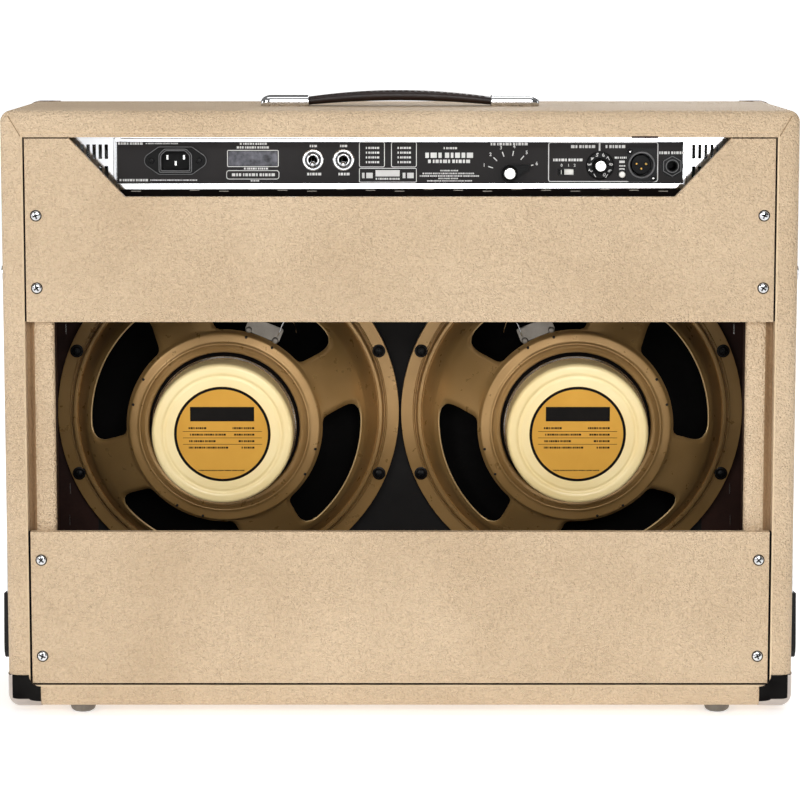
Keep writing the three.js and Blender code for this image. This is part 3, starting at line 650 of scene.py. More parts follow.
def batten(sign):
    """A wrapped batten, with the fold where its covering meets the side board painted darker as the side
    board's shadow.
    """
    skins = {}
    low, high = FOOT_HEIGHT + BOARD - 0.5, TOP - BOARD + 0.5
    for (x0, y0), (x1, y1) in zip(BATTEN, BATTEN[1:]):
        # Next to the side board the fold is painted dark as shade.
        tone = VINYL_FOLD_SHADE if x0 > 308.5 else STAIN if y1 < 116 and x1 < 300 else VINYL
        face = [[(sign * x0, y0, z), (sign * x1, y1, z)] for z in (low, high)]
        skins.setdefault(tone, []).append(grid(np.array(face)))
    return [(joined(*strips), tone) for tone, strips in skins.items()]


# A dark block on the top lip, painted as the shade of a slot there.
slot_shade = block(-215, -193, 122, BACK + 0.1, lip_base - 0.7, lip_base + 1.1)
make("lip_slot_shade", "cabinet", [(slot_shade, STAIN)], bevel=0.4)

for side, sign in (("right", 1), ("left", -1)):
    make(f"batten_{side}", "cabinet", batten(sign), towards=(0, 1, 0))
    x0, x1 = sorted((sign * 300, sign * 315.2))
    blocks = joined(*[block(x0, x1, 41.3, 59.3, low, high) for low, high in ((24, 108), (318, 420))])
    make(
        f"baffle_blocks_{side}", "cabinet", [(put(blocks, FRONT), BAFFLE_PAINT)], bevel=0.6
    )
    # The covering's mitred joint at the top corner of the back.
    seam = put(stroke((sign * 316.4, 493.6), (sign * 326.4, 510.4), 0.7, -0.3, 0.35), at(0, BACK, 0))
    make(f"covering_seam_{side}", "cabinet", [(seam, VINYL_SEAM)])

for panel in ("rear_panel_upper", "rear_panel_lower"):
    # The panels' bevels are painted lighter as a highlight.
    paint_node(panel, VINYL, 1.1, VINYL_HIGHLIGHT)
# Dark strips in the gaps round the panels, painted as shade.
gap_shades = [block(-315.1, 315.1, 121, 127.8, FOOT_HEIGHT + BOARD - 0.1, 29)]
for sign in (1, -1):
    near, far = sorted((sign * 313.1, sign * 315.1))
    gap_shades += [block(near, far, 121, 127.8, 29, 159), block(near, far, 121, 127.8, 338.3, lip_base + 0.1)]
    near, far = sorted((sign * 276.8, sign * 313.2))
    gap_shades.append(block(near, far, 128.6, 129.08, lip_base - 1.1, lip_base + 0.1))
make("panel_gap_shade", "cabinet", [(joined(*gap_shades), SHADE)])
paint_node("baffle_board", BAFFLE_PAINT)
paint_node("grille_frame", BAFFLE_PAINT)


def screw_head(radius, height, cross):
    """A domed head facing +Y on y = 0, as (dome, pressed cross). The cross is split off so that its recess
    can be painted dark as shade.
    """
    segments, rings = 72, 18
    rows, pressed = [], []
    for i in range(rings + 1):
        r = radius * math.sin(math.pi / 2 * i / rings)
        row = []
        for j in range(segments):
            angle = 2 * math.pi * j / segments
            x, z = r * math.cos(angle), r * math.sin(angle)
            y = height * math.sqrt(max(0.0, 1 - (r / radius) ** 2)) ** 0.75
            pressed.append(min(abs(x), abs(z)) < cross / 2 and max(abs(x), abs(z)) < 0.64 * radius)
            row.append((x, y - 0.5 * height * pressed[-1], z))
        rows.append(row)
    head = grid(np.array(rows), wrap=True)
    return split(head, [sum(pressed[n] for n in face) >= 3 for face in head[1]])


PANEL_SCREWS = [(304.5, 419.3), (304.5, 358.5), (304.2, 127), (304.2, 44)]
for number, (x, height) in enumerate(PANEL_SCREWS, 1):
    for side, sign in (("right", 1), ("left", -1)):
        # The washers are chrome painted dark as shade.
        washer = lathe(softened([(0, 0), (4.9, 0), (4.9, 0.3), (4.3, 0.5), (0, 0.5)], 0.2), 32)
        spot = at(sign * x, 128.95, FOOT_HEIGHT + height) @ turn(17 * number * sign, "Y")
        # The pressed cross is painted black as shade in the recess.
        dome, cross = (put(part, spot @ at(0, 0.25, 0)) for part in screw_head(4.1, 1.7, 1.0))
        make(
            f"panel_screw_{side}_{number}", "cabinet",
            [(put(washer, spot), SHADED_CHROME), (dome, CHROME), (cross, INK_AND_SHADE)],
        )

# ---------------------------------------------------------------- corner protectors

REACH = 28
SCOOP = 10
PLATE = 0.7


def protector_place(away, corner):
    """A point on the rounded cabinet, one plate proud, from distances to the corner's three outer planes."""
    away = np.array(away, float)
    inner = np.maximum(away, EDGE_RADIUS)
    way = away - inner
    x, y, z = inner + way / np.linalg.norm(way) * (EDGE_RADIUS + PLATE)
    height = TOP - z if corner[2] > 0 else FOOT_HEIGHT + z
    return corner[0] * (HALF_WIDTH - x), corner[1] * (BACK - y), height


def protector_steps():
    """Distances from the corner along a plate's edge, closer together where the scoop begins."""
    start = REACH - SCOOP
    scoop = SCOOP * (1 - np.cos(np.radians(np.arange(6, 91, 6))))
    return np.concatenate((np.linspace(0, start, 16), start + scoop))


def protector(corner):
    """Three scooped plates as one skin. The flat of the plate at the back or front is painted darker as
    shade.
    """
    steps = protector_steps()
    wide = len(steps)
    bright, dark = [], []
    for flat in range(3):
        rows = []
        for p in steps:
            scooped = max(0.0, SCOOP**2 - (REACH - p) ** 2) if p > REACH - SCOOP else 0.0
            reach = REACH - math.sqrt(scooped)
            row = []
            for q in steps * reach / REACH:
                away = [p, q]
                away.insert(flat, 0.0)
                row.append(protector_place(away, corner))
            rows.append(row)
        plate = grid(np.array(rows, float))
        # Faces on the flat plate are marked to be painted dark as shade.
        on_flat = [steps[n // wide] > 2.2 and steps[n % wide] > 6.5 and flat == 1 for n, *_ in plate[1]]
        for skin, part in zip((bright, dark), split(plate, on_flat)):
            skin.append(part)
    parts = []
    for skin, material in ((dark, SHADED_CHROME), (bright, WARM_REFLECTION_CHROME)):
        points, faces = joined(*skin)
        parts.append(((leaned(points), faces), material))
    return parts


for name, y, z in (("rear_bottom", 1, -1), ("front_bottom", -1, -1), ("front_top", -1, 1)):
    for side, x in (("right", 1), ("left", -1)):
        make(
            f"corner_protector_{name}_{side}", "cabinet", protector((x, y, z)),
            solid=PLATE, towards=(x, y, z), rim=WARM_REFLECTION_CHROME,
        )

for row, y in (("rear", 106), ("front", -106)):
    for side, x in (("right", 272.5), ("left", -272.5)):
        outline = softened([(0, 0), (7.5, 0), (10.2, 2), (11, 5), (11, 7.9), (0, 7.9)], 0.9)
        glide = put(lathe(outline, 36), at(x, y, 0) @ turn(90, "X"))
        make(f"glide_{row}_{side}", "cabinet", [(glide, DULL_METAL)], [f"foot_{row}_{side}"])

# ---------------------------------------------------------------- grille

CLOTH_HALF_WIDTH = 313.4
CLOTH_BOTTOM = 22.2
CLOTH_TOP = 419.8
CLOTH_FRONT = 11.2
CLOTH_WRAP = 12.0  # how far each edge is turned back round the frame


def stretched_cloth():
    """The cloth's face, with its edges turned back round the frame."""
    across = np.linspace(-CLOTH_HALF_WIDTH, CLOTH_HALF_WIDTH, 61)
    up = np.linspace(CLOTH_BOTTOM, CLOTH_TOP, 41)
    xs = np.concatenate(([across[0]], across, [across[-1]]))
    zs = np.concatenate(([up[0]], up, [up[-1]]))
    rows = []
    for i, z in enumerate(zs):
        row = []
        for j, x in enumerate(xs):
            wrapped = i in (0, len(zs) - 1) or j in (0, len(xs) - 1)
            row.append((x, CLOTH_FRONT + (CLOTH_WRAP if wrapped else 0.0), z))
        rows.append(row)
    points, faces = grid(np.array(rows, float))
    return put((points, faces), FRONT)


cloth = make(
    "grille_cloth_stretched", "cabinet", [(stretched_cloth(), CLOTH)], ["grille_cloth"],
    towards=(0, -1, 0),
)


def round_rail(points, radius, sides=10):
    """A round rail swept along a closed flat line in X and Z, with mitred corners."""
    count = len(points)
    rows = []
    for i in range(count):
        before = np.array(points[i]) - np.array(points[i - 1])
        after = np.array(points[(i + 1) % count]) - np.array(points[i])
        before, after = before / np.hypot(*before), after / np.hypot(*after)
        across = np.array([before[1] + after[1], -before[0] - after[0]])
        across /= np.hypot(*across)
        across /= max(0.5, across @ np.array([before[1], -before[0]]))
        row = []
        for j in range(sides):
            angle = 2 * math.pi * j / sides
            x, z = np.array(points[i]) + across * radius * math.cos(angle)
            row.append((x, radius * math.sin(angle), z))
        rows.append(row)
    rows.append(rows[0])
    return grid(np.array(rows, float), wrap=True)


piping = put(round_rail(rounded(-312.4, 312.4, 23.4, 419.4, 3), 1.5), FRONT @ at(0, 10.2, 0))
make("grille_piping", "cabinet", [(piping, PIPING)])

# ---------------------------------------------------------------- loudspeakers

WALL = [(85.0, 114.5), (86.0, 112.0), (118.0, 88.0), (125.0, 80.4)]
RIM = [
    (154.5, 41.4), (154.5, 48.4), (144.0, 48.4), (143.4, 49.4), (142.6, 49.4), (142.0, 47.9), (141.0, 47.9),
    (140.2, 56.2), (139.4, 57.5), (136.8, 57.7), (136.0, 56.5), (135.1, 57.3), (132.0, 64.6), (128.4, 73.0),
    (125.0, 80.4),
]
HUB = [
    (85.0, 114.5), (83.8, 116.2), (80.0, 116.9), (76.6, 117.5), (75.3, 118.5), (74.2, 118.5), (73.2, 116.9),
    (70.8, 115.4), (67.4, 114.9), (66.6, 113.8), (66.4, 110.5),
]
WINDOW = {"inner": 86.9, "outer": 121.0, "inner_half": 27.3, "outer_half": 32.5}
WINDOW_CUTS = (5.0, 5.0, 17.0, 17.0)  # corner rounding at the inner pair and the outer pair
ARC_STEPS, SIDE_STEPS, ROW_STEPS = 24, 10, 5


def along(path, start, end, count):
    """count + 1 points spaced evenly on a path, from start after its beginning to end before its end."""
    path = np.array(path, float)
    lengths = np.concatenate(([0], np.cumsum(np.hypot(*np.diff(path, axis=0).T))))
    wanted = np.linspace(start, lengths[-1] - end, count + 1)
    return np.column_stack([np.interp(wanted, lengths, path[:, k]) for k in (0, 1)])


def window_loop():
    """The window's rounded outline about a middle at 90 degrees, side by side with the cell's four sides."""
    inner, outer = WINDOW["inner"], WINDOW["outer"]
    near, far = WINDOW["inner_half"], WINDOW["outer_half"]
    inner_arc = arc(0, 0, inner, 90 + near, 90 - near, 40)
    outer_arc = arc(0, 0, outer, 90 - far, 90 + far, 40)
    paths = [inner_arc, [inner_arc[-1], outer_arc[0]], outer_arc, [outer_arc[-1], inner_arc[0]]]
    middles = [along(paths[i], WINDOW_CUTS[i], WINDOW_CUTS[(i + 1) % 4], 24) for i in range(4)]
    corners = [np.array(path[0]) for path in paths]
    loop = []
    for i in range(4):
        following = (i + 1) % 4
        opening = bend(middles[i - 1][-1], corners[i], middles[i][0], 0.5, 1, 6)
        closing = bend(middles[i][-1], corners[following], middles[following][0], 0, 0.5, 6)
        side = np.array([*opening, *middles[i][1:-1], *closing])
        count = ARC_STEPS if i % 2 == 0 else SIDE_STEPS
        loop.extend(along(side, 0, 0, count)[:-1])
    return [(math.degrees(math.atan2(z, x)), math.hypot(x, z)) for x, z in loop]


def cell_loop():
    """The edge of the quarter of the wall that a window sits in, as (degrees, radius)."""
    low, high = WALL[0][0], WALL[-1][0]
    bottom = [(angle, low) for angle in np.linspace(135, 45, ARC_STEPS + 1)[:-1]]
    right = [(45, radius) for radius in np.linspace(low, high, SIDE_STEPS + 1)[:-1]]
    top = [(angle, high) for angle in np.linspace(45, 135, ARC_STEPS + 1)[:-1]]
    left = [(135, radius) for radius in np.linspace(high, low, SIDE_STEPS + 1)[:-1]]
    return bottom + right + top + left


def wall_quarter(middle):
    """A quarter of the basket's wall round a window. middle is the window's angle as seen from the back."""
    window, cell = np.array(window_loop()), np.array(cell_loop())
    rows = []
    for share in np.linspace(0, 1, ROW_STEPS + 1):
        degrees, radii = (window + (cell - window) * share).T
        angles = np.radians(degrees + middle - 90)
        depths = np.interp(radii, *zip(*WALL))
        rows.append(np.column_stack((-radii * np.cos(angles), depths, radii * np.sin(angles))))
    return grid(np.array(rows, float), wrap=True)


MAGNET = [
    (0, 116.6), (22.5, 116.6), (60, 115.4), (62.2, 118), (62.2, 145.4), (61.6, 147.6), (59.8, 149.2),
    (55.2, 149.5), (53.4, 149.0), (52.2, 147.9), (50.6, 147.9), (49.6, 148.5), (0, 148.5),
]
CONE = [
    (0, 88), (20, 90.5), (38, 97.5), (126, 50.5), (134, 46), (135.5, 47.5), (127, 52.2), (40, 99.4),
    (25.8, 107), (25.8, 126), (24.3, 126), (24.3, 97.5), (18, 92.3), (0, 89.8),
]
LABEL_FACE = 148.55
# The bare lead, counted from the strip's middle, with x towards the amplifier's middle.
LEAD = [(12, 2, -6), (16, 6, 6), (22, 4, 14), (27, 0, 4), (28, -6, -4)]


def label_parts():
    """A gold disc with a black ring, a black bar and ruled rows, facing +Y on the can's flat."""
    ink = [
        lathe([(39.9, 0.1), (39.9, 0.32), (42.2, 0.32), (42.2, 0.1)], 72),
        block(-28, 28, 0.1, 0.3, 11.5, 24.3),
    ]
    ink += [block(-34.6, 34.6, 0.1, 0.24, z - 0.2, z + 0.2) for z in (2.4, -3.3, -9.0)]
    small = [ruled_row(-19, 21, -32.4, 1.0)]
    for z, start, end in ((5.4, 14, -8), (-0.4, -3, -10), (-6.2, 6, -14), (-12.0, -5, -16)):
        small += [ruled_row(start, 29.5, z, 1.7), ruled_row(-28, end, z, 1.7)]
    ink += [put(part, at(0, 0.12, 0)) for part in small]
    return [(lathe([(0, 0.14), (42.2, 0.14), (42.4, -0.1)], 72), LABEL), (joined(*ink), INK_AND_SHADE)]


def terminal_strip(angle):
    """The connection strip on the basket's wall at an angle seen from the back, with its rivets and spade."""
    metal = [slab(rounded(-6.6, 6.6, -16, 16, 2), 0, 1.6)]
    rivet = lathe(softened([(0, 3.4), (2.4, 3.0), (3.0, 1.6)], 0.6), 20)
    metal += [put(rivet, at(-5.4, 0, z)) for z in (-12.6, 12.6)]
    metal.append(put(slab(rounded(-3.4, 3.4, -2.2, 2.2, 0.6), 0, 0.9), at(3, 4, -10)))
    metal.append(block(1.6, 4.4, 1.6, 4.2, -10.6, -9.4))
    return put(joined(*metal), turn(angle - 180, "Y"))


def bare_lead(points, radius=0.45, sides=8):
    """A thin round wire through points in mm."""
    points = np.array(points, float)
    knots = np.linspace(0, 1, len(points))
    fine = np.linspace(0, 1, 24)
    line = np.column_stack([np.interp(fine, knots, points[:, k]) for k in range(3)])
    for _ in range(6):
        line[1:-1] = (line[:-2] + line[1:-1] + line[2:]) / 3
    angles = np.arange(sides) * 2 * math.pi / sides
    rows = []
    for i, centre in enumerate(line):
        ahead = line[min(i + 1, len(line) - 1)] - line[max(i - 1, 0)]
        ahead /= np.linalg.norm(ahead)
        across = np.cross(ahead, (0.2, 1.0, 0.1))
        across /= np.linalg.norm(across)
        round_it = np.outer(np.cos(angles), across) + np.outer(np.sin(angles), np.cross(ahead, across))
        rows.append(centre + radius * round_it)
    return grid(np.array(rows), wrap=True)


def round_places(radius, degrees, depth):
    """Places round the axis at angles seen from the back."""
    return [
        at(-radius * math.cos(math.radians(a)), depth, radius * math.sin(math.radians(a))) for a in degrees
    ]


def all_at(part, places):
    return joined(*[put(part, place) for place in places])


def basket(first):
    """The basket's rim, its wall with four windows and its hub. first is the angle of one window."""
    quarters = [wall_quarter(first + 90 * i) for i in range(4)]
    return joined(lathe(softened(RIM, 0.35), 96), *quarters, lathe(softened(HUB, 0.9), 96))


def mounting_bolts():
    washer = lathe(softened([(0, 0), (6.0, 0), (6.0, 0.8), (5.2, 1.1), (0, 1.1)], 0.3), 28)
    bolt = joined(washer, put(joined(*screw_head(4.7, 3.1, 1.2)), at(0, 1.0, 0)))
    return all_at(bolt, round_places(147.6, [22.5 + 45 * i for i in range(8)], 48.5))


def basket_rivets(first):
    rivet = lathe(softened([(0, 0.8), (1.0, 0.6), (1.4, -0.6)], 0.3), 16)
    angles = [first + 90 * i + offset for i in range(4) for offset in (-8.5, 8.5)]
    return all_at(rivet, round_places(82.9, angles, 116.6))


for side, x in SPEAKER_X.items():
    place = FRONT @ at(x, 0, SPEAKER_HEIGHT)
    first = FIRST_WINDOW[side]
    # The thickness of the basket's wall is painted lighter as a highlight.
    make(
        f"basket_{side}", "cabinet", [(put(basket(first), place), BRONZE)],
        [f"speaker_basket_{side}"], solid=1.4, towards=(0, 1, 0), rim=BRONZE_HIGHLIGHT,
    )
    # A dark ring between hub and pot, painted as the shade in the gap.
    gap_shade = lathe([(67.2, 111.4), (61.8, 111.4)], 72)
    pot = lathe(softened([(62.0, 122), (62.5, 119.4), (63.9, 118.4), (63.9, 111.6)], 0.5), 72)
    make(
        f"magnet_pot_{side}", "cabinet", placed([(gap_shade, SHADE), (pot, ALUMINIUM)], place),
        towards=(0, 1, 0),
    )
    magnet = put(lathe(softened(MAGNET, 1.2), 96), place)
    make(f"magnet_{side}", "cabinet", [(magnet, CREAM)], [f"speaker_magnet_{side}"])
    label = placed(label_parts(), place @ at(0, LABEL_FACE, 0))
    make(f"magnet_label_{side}", "cabinet", label)
    cone = put(lathe(softened([*CONE, CONE[0]], 0.8), 72), place)
    make(f"cone_{side}", f"speaker_cone_{side}", [(cone, PAPER)], [f"speaker_cone_{side}"])
    bolts = put(mounting_bolts(), place)
    make(f"mounting_bolts_{side}", "cabinet", [(bolts, BLACK_METAL)])
    rivets = put(basket_rivets(first), place)
    make(f"basket_rivets_{side}", "cabinet", [(rivets, BLACK_METAL)])
    spot = place @ round_places(93.5, [first], 109.2)[0]
    inwards = -1 if side == "right" else 1
    lead = bare_lead([(inwards * x, y, z) for x, y, z in LEAD])
    terminal = placed([(terminal_strip(first), DULL_METAL), (lead, CHROME)], spot)
    make(f"terminal_strip_{side}", "cabinet", terminal)

# ---------------------------------------------------------------- inside: strips and staples


def staples(places, length, upright):
    """Wire staples lying on a face that looks towards +Y."""
    parts = []
    for x, y, z in places:
        half_x, half_z = (0.35, length / 2) if upright else (length / 2, 0.35)
        parts.append(block(x - half_x, x + half_x, y, y + 0.5, z - half_z, z + half_z))
    return joined(*parts)


for side, sign in (("right", 1), ("left", -1)):
    x0, x1 = sorted((sign * 276, sign * 314))
    strip = block(x0, x1, 41.0, 41.5, 60, 420)
    wires = staples([(sign * (301 + (i % 2)), 41.5, 99 + 29.5 * i) for i in range(11)], 9.5, True)
    make(
        f"edge_strip_{side}", "cabinet",
        [(put(strip, FRONT), STAIN), (put(wires, FRONT), ALUMINIUM)],
    )

# The strip under the chassis is near black as painted shade from the panel's edge.
shield = block(-262, 262, 101.8, 103.0, 424, 440.8)
wires = staples([(-222 + 24.7 * i, 103.0, 438.2 + 0.8 * (i % 3)) for i in range(19)], 8, False)
shield_parts = [(put(shield, at(0, 0, FOOT_HEIGHT)), SHADE), (put(wires, at(0, 0, FOOT_HEIGHT)), DULL_METAL)]
make("chassis_shield", "cabinet", shield_parts)

# ---------------------------------------------------------------- handle

HANDLE_Y = 21


def strap_section(x):
    """Bottom and top of the strap above the cabinet's top, and its half width, at x."""
    share = min(abs(x) / 77, 1.0)
    if abs(x) > 78:
        return 1.2, 7.8, 11.2
    return 4.6 - 3.5 * share**2, 13.6 - 5.4 * share**2, 12.0 - 0.6 * share


def strap():
    ends = np.linspace(79, 101, 4)
    stations = np.concatenate((-ends[::-1], np.linspace(-77.5, 77.5, 41), ends))
    rows = []
    for x in stations:
        low, high, half = strap_section(x)
        row = []
        for angle in np.linspace(0, 2 * math.pi, 28, endpoint=False):
            c, s = math.cos(angle), math.sin(angle)
            y = half * math.copysign(abs(c) ** 0.62, c)
            z = (low + high) / 2 + (high - low) / 2 * math.copysign(abs(s) ** 0.62, s)
            row.append((x, HANDLE_Y + y, TOP + z))
        rows.append(row)
    points, faces = grid(np.array(rows), wrap=True)
    n = len(rows[0])
    faces += [tuple(range(n)), tuple(range(len(points) - n, len(points)))]
    return points, faces


def strap_stitches():
    parts = []
    for y in (-8.6, 8.6):
        for i in range(27):
            x = -71.5 + 5.5 * i
            low, high, half = strap_section(x)
            z = (low + high) / 2 + (high - low) / 2 * (1 - abs(y / half) ** (1 / 0.31)) ** 0.31
            slope = -2 * 5.4 * x / 77**2
            spot = at(x, HANDLE_Y + y, TOP + z) @ turn(-math.degrees(math.atan(slope)), "Y")
            parts.append(put(block(-1.7, 1.7, -0.35, 0.35, -0.3, 0.28), spot))
    return joined(*parts)


make(
    "handle_strap_moulded", "cabinet", [(strap(), STRAP), (strap_stitches(), THREAD)],
    ["handle_strap"],
)


def handle_cap(sign):
    """A pressed cap, rounded towards its outer end, with a lip where the strap enters."""
    rows = []
    outer_end = 114 + 6 * np.sin(np.radians(np.linspace(-40, 90, 9)))
    for x in [78.6, 79.4, *np.linspace(81, 108, 6), *outer_end]:
        closing = math.sqrt(max(0.0, 1 - (max(0.0, x - 112) / 8.01) ** 2))
        high = 9.2 * (0.42 + 0.58 * closing)
        half = 14 * (0.72 + 0.28 * closing)
        row = []
        for angle in np.linspace(0, math.pi, 25):
            c, s = math.cos(angle), math.sin(angle)
            y = half * math.copysign(abs(c) ** 0.42, c)
            z = 0.1 + (high - 0.1) * abs(s) ** 0.42
            row.append((sign * x, HANDLE_Y + y, TOP + z))
        rows.append(row)
    points, faces = grid(np.array(rows, float))
    n = len(rows[0])
    faces.append(tuple(range(len(points) - n, len(points))))
    return points, faces


for side, sign in (("right", 1), ("left", -1)):
    make(
        f"handle_cap_pressed_{side}", "cabinet", [(handle_cap(sign), CHROME)],
        [f"handle_cap_{side}"], solid=0.7, towards=(0, 0, 1),
    )

# ---------------------------------------------------------------- tilt-back legs

# The pivot bolt's outline as (radius, distance from the amplifier's middle).
PIVOT_BOLT = [
    (0, 334.3), (9, 334.3), (9, 336.7), (4, 336.7), (4, 340.9), (8.5, 340.9), (8.2, 342.2), (6.2, 344.6),
    (0, 345.6),
]
for side, sign in (("right", 1), ("left", -1)):
    paint_node(f"tilt_leg_{side}", CHROME, 0.6)
    paint_node(f"leg_boot_{side}", RUBBER, 1.2)
    paint_node(f"leg_stop_{side}", CHROME, 0.3)
    bolt = put(lathe(softened(PIVOT_BOLT, 0.4), 40), at(0, 41, 371.5) @ turn(-90 * sign, "Z"))
    make(f"pivot_bolt_{side}", "cabinet", [(bolt, CHROME)], [f"leg_pivot_bolt_{side}"])

# ---------------------------------------------------------------- chassis and back panel

# Places on the back panel as (x, height above the cabinet's underside).
MAINS_INLET = (189.1, 464)
TOGGLES = {"power": (73.3, 464.5), "mute": (47.6, 464.5)}
OUTPUT_KNOB = (-92.3, 453.5)
SLIDE_SWITCH = (-139.9, 454.4)
LEVEL_KNOB = (-168.5, 459.8)
LIFT_BUTTON = (-187.1, 452.3)
LINE_OUT = (-203.5, 460.3)
FOOTSWITCH = (-229.2, 459.4)

paint_node("chassis", BRIGHT_STEEL)
paint_node("rear_control_panel", PANEL)
paint_node("front_control_panel", PANEL, 0.3)
paint_node("power_supply_board", SOLDER_MASK)
paint_node("amplifier_board", SOLDER_MASK)
paint_node("speaker_cable", RUBBER)

bezel = frame_bars(-241.4, 241.4, 440.5, 482.6, (1.9, 2.3, 4.6), -1.2, 1.2)
make("panel_bezel", "cabinet", [(put(bezel, REAR), CHROME)], bevel=0.6)
clips = [block(x - 2.6, x + 2.6, 0, 2.6, 479.6, 484) for x in (-237.5, 0, 237.5)]
make("panel_clips", "cabinet", [(put(joined(*clips), REAR), BRIGHT_STEEL)], bevel=0.5)


def box_line(x0, x1, z0, z1, radius=1.4, width=0.6):
    return ring(rounded(x0, x1, z0, z1, radius, 4), width)


def panel_print():
    """Lines, rows and numbers printed on the back panel. X runs to the left as one looks at it."""
    parts = [
        ruled_row(216.6, 237.6, 478.3, 2.0),
        ruled_row(187, 214.5, 478.3, 1.1),
        ruled_row(212.4, 236.8, 447.5, 1.9),
        ruled_row(171, 210.5, 447.5, 1.1),
        ruled_row(112, 135.7, 478.1, 1.8),
        ruled_row(110.4, 137.4, 475.0, 1.8),
        box_line(102.5, 145.3, 458.9, 472.5, 0.8),
        ruled_row(111.2, 131.5, 457.2, 1.6),
        box_line(102.0, 146.1, 448.4, 455.5, 2.0),
        ruled_row(105.5, 142.5, 452.0, 2.4),
        ruled_row(118.8, 126.4, 447.0, 1.3),
        box_line(13.1, 34.2, 458.6, 479.5, 1.4),
        box_line(-13.8, 7.2, 458.6, 479.5, 1.4),
        box_line(-13.8, 34.2, 445.8, 457.4, 0.8),
        block(0.3, 20.6, 0.02, 0.12, 450.6, 455.9),
        ruled_row(0.3, 20.6, 448.6, 1.6),
        ruled_row(-11.5, -2.2, 451.4, 4.6),
        ruled_row(23.0, 32.0, 451.4, 4.6),
        ruled_row(-48, -35.7, 474.4, 1.7),
        ruled_row(-61.5, -20.2, 468.4, 4.4),
        ruled_row(-59, -23.6, 463.3, 2.8),
        ruled_row(-48.9, -33.7, 455.5, 1.1),
        ruled_row(-62.4, -18.5, 453.1, 1.2),
        ruled_row(-66.6, -16, 451.0, 1.2),
        ruled_row(-48.9, -32, 448.9, 1.1),
        ruled_row(-60.7, -21.9, 446.9, 1.1),
        ruled_row(-107.5, -75.5, 477.9, 2.3),
        ruled_row(-164.3, -143.3, 475.7, 2.5),
        ruled_row(-189.6, -171.6, 475.7, 2.5),
        ruled_row(-153.7, -127.6, 464.5, 2.2),
        ruled_row(-193.8, -180.8, 466.4, 1.6),
        block(-189.3, -184.7, 0.02, 0.12, 461.9, 463.9),
        ruled_row(-189.8, -184.0, 459.5, 1.2),
        block(-189.3, -184.7, 0.02, 0.12, 456.2, 457.4),
        ruled_row(-240.2, -218.3, 470.5, 2.2),
    ]
    for z in (474.6, 470.6, 466.6, 462.6):
        parts += [ruled_row(17.5, 29.8, z, 1.7), ruled_row(-9.2, 2.6, z, 1.7)]
    for x, half in ((73.0, 6.6), (47.5, 5.0)):
        parts.append(ruled_row(x - 3, x + 3, 476.2, 1.9))
        parts.append(ruled_row(x - half, x + half, 452.6, 2.2))
    parts += [box_line(-217.1, -125.2, 446.3, 479.2, 1.8, 0.75), stroke((-168, 479.2), (-168, 472.2), 1.4)]
    knob = np.array(OUTPUT_KNOB)
    for number, angle in enumerate((163, 136, 109, 80, 50, 19), 1):
        way = np.array([-math.cos(math.radians(angle)), math.sin(math.radians(angle))])
        reach = (14.6, 18.8) if number < 6 else (19.2, 21.2)
        parts.append(stroke(knob + way * reach[0], knob + way * reach[1], 0.8))
        spot = knob + way * (22.4 if number < 6 else 24.2)
        parts.append(put(figure(str(number), 2.9, 1), at(spot[0], 0, spot[1])))
    for number, x in enumerate((-136.1, -142.0, -147.1)):
        parts.append(put(figure(str(number), 2.3, 1), at(x, 0, 459.9)))
    return joined(*parts)


make("panel_print", "cabinet", [(put(panel_print(), REAR), PRINT)])
sticker = put(block(103.3, 144.5, 0.05, 0.2, 459.7, 471.7), REAR)
make("panel_plate", "cabinet", [(sticker, PLATE_STICKER)])


def screw(radius, height):
    return joined(*screw_head(radius, height, radius * 0.28))


def rear_at(x, height):
    return REAR @ at(x, 0, height)


def started_at_right(points):
    """A closed ring of points, counted from the one nearest the +X axis, running up from there."""
    first = min(range(len(points)), key=lambda i: abs(math.atan2(points[i][2], points[i][0])))
    ordered = points[first:] + points[:first]
    if ordered[1][2] < ordered[-1][2]:
        ordered = [ordered[0], *reversed(ordered[1:])]
    return ordered


def even_ring(outline, y, count):
    """count points spaced evenly round a closed outline, the first on the +X side, all at one depth."""
    return started_at_right(at_depth(along([*outline, outline[0]], 0, 0, count)[:-1], y))


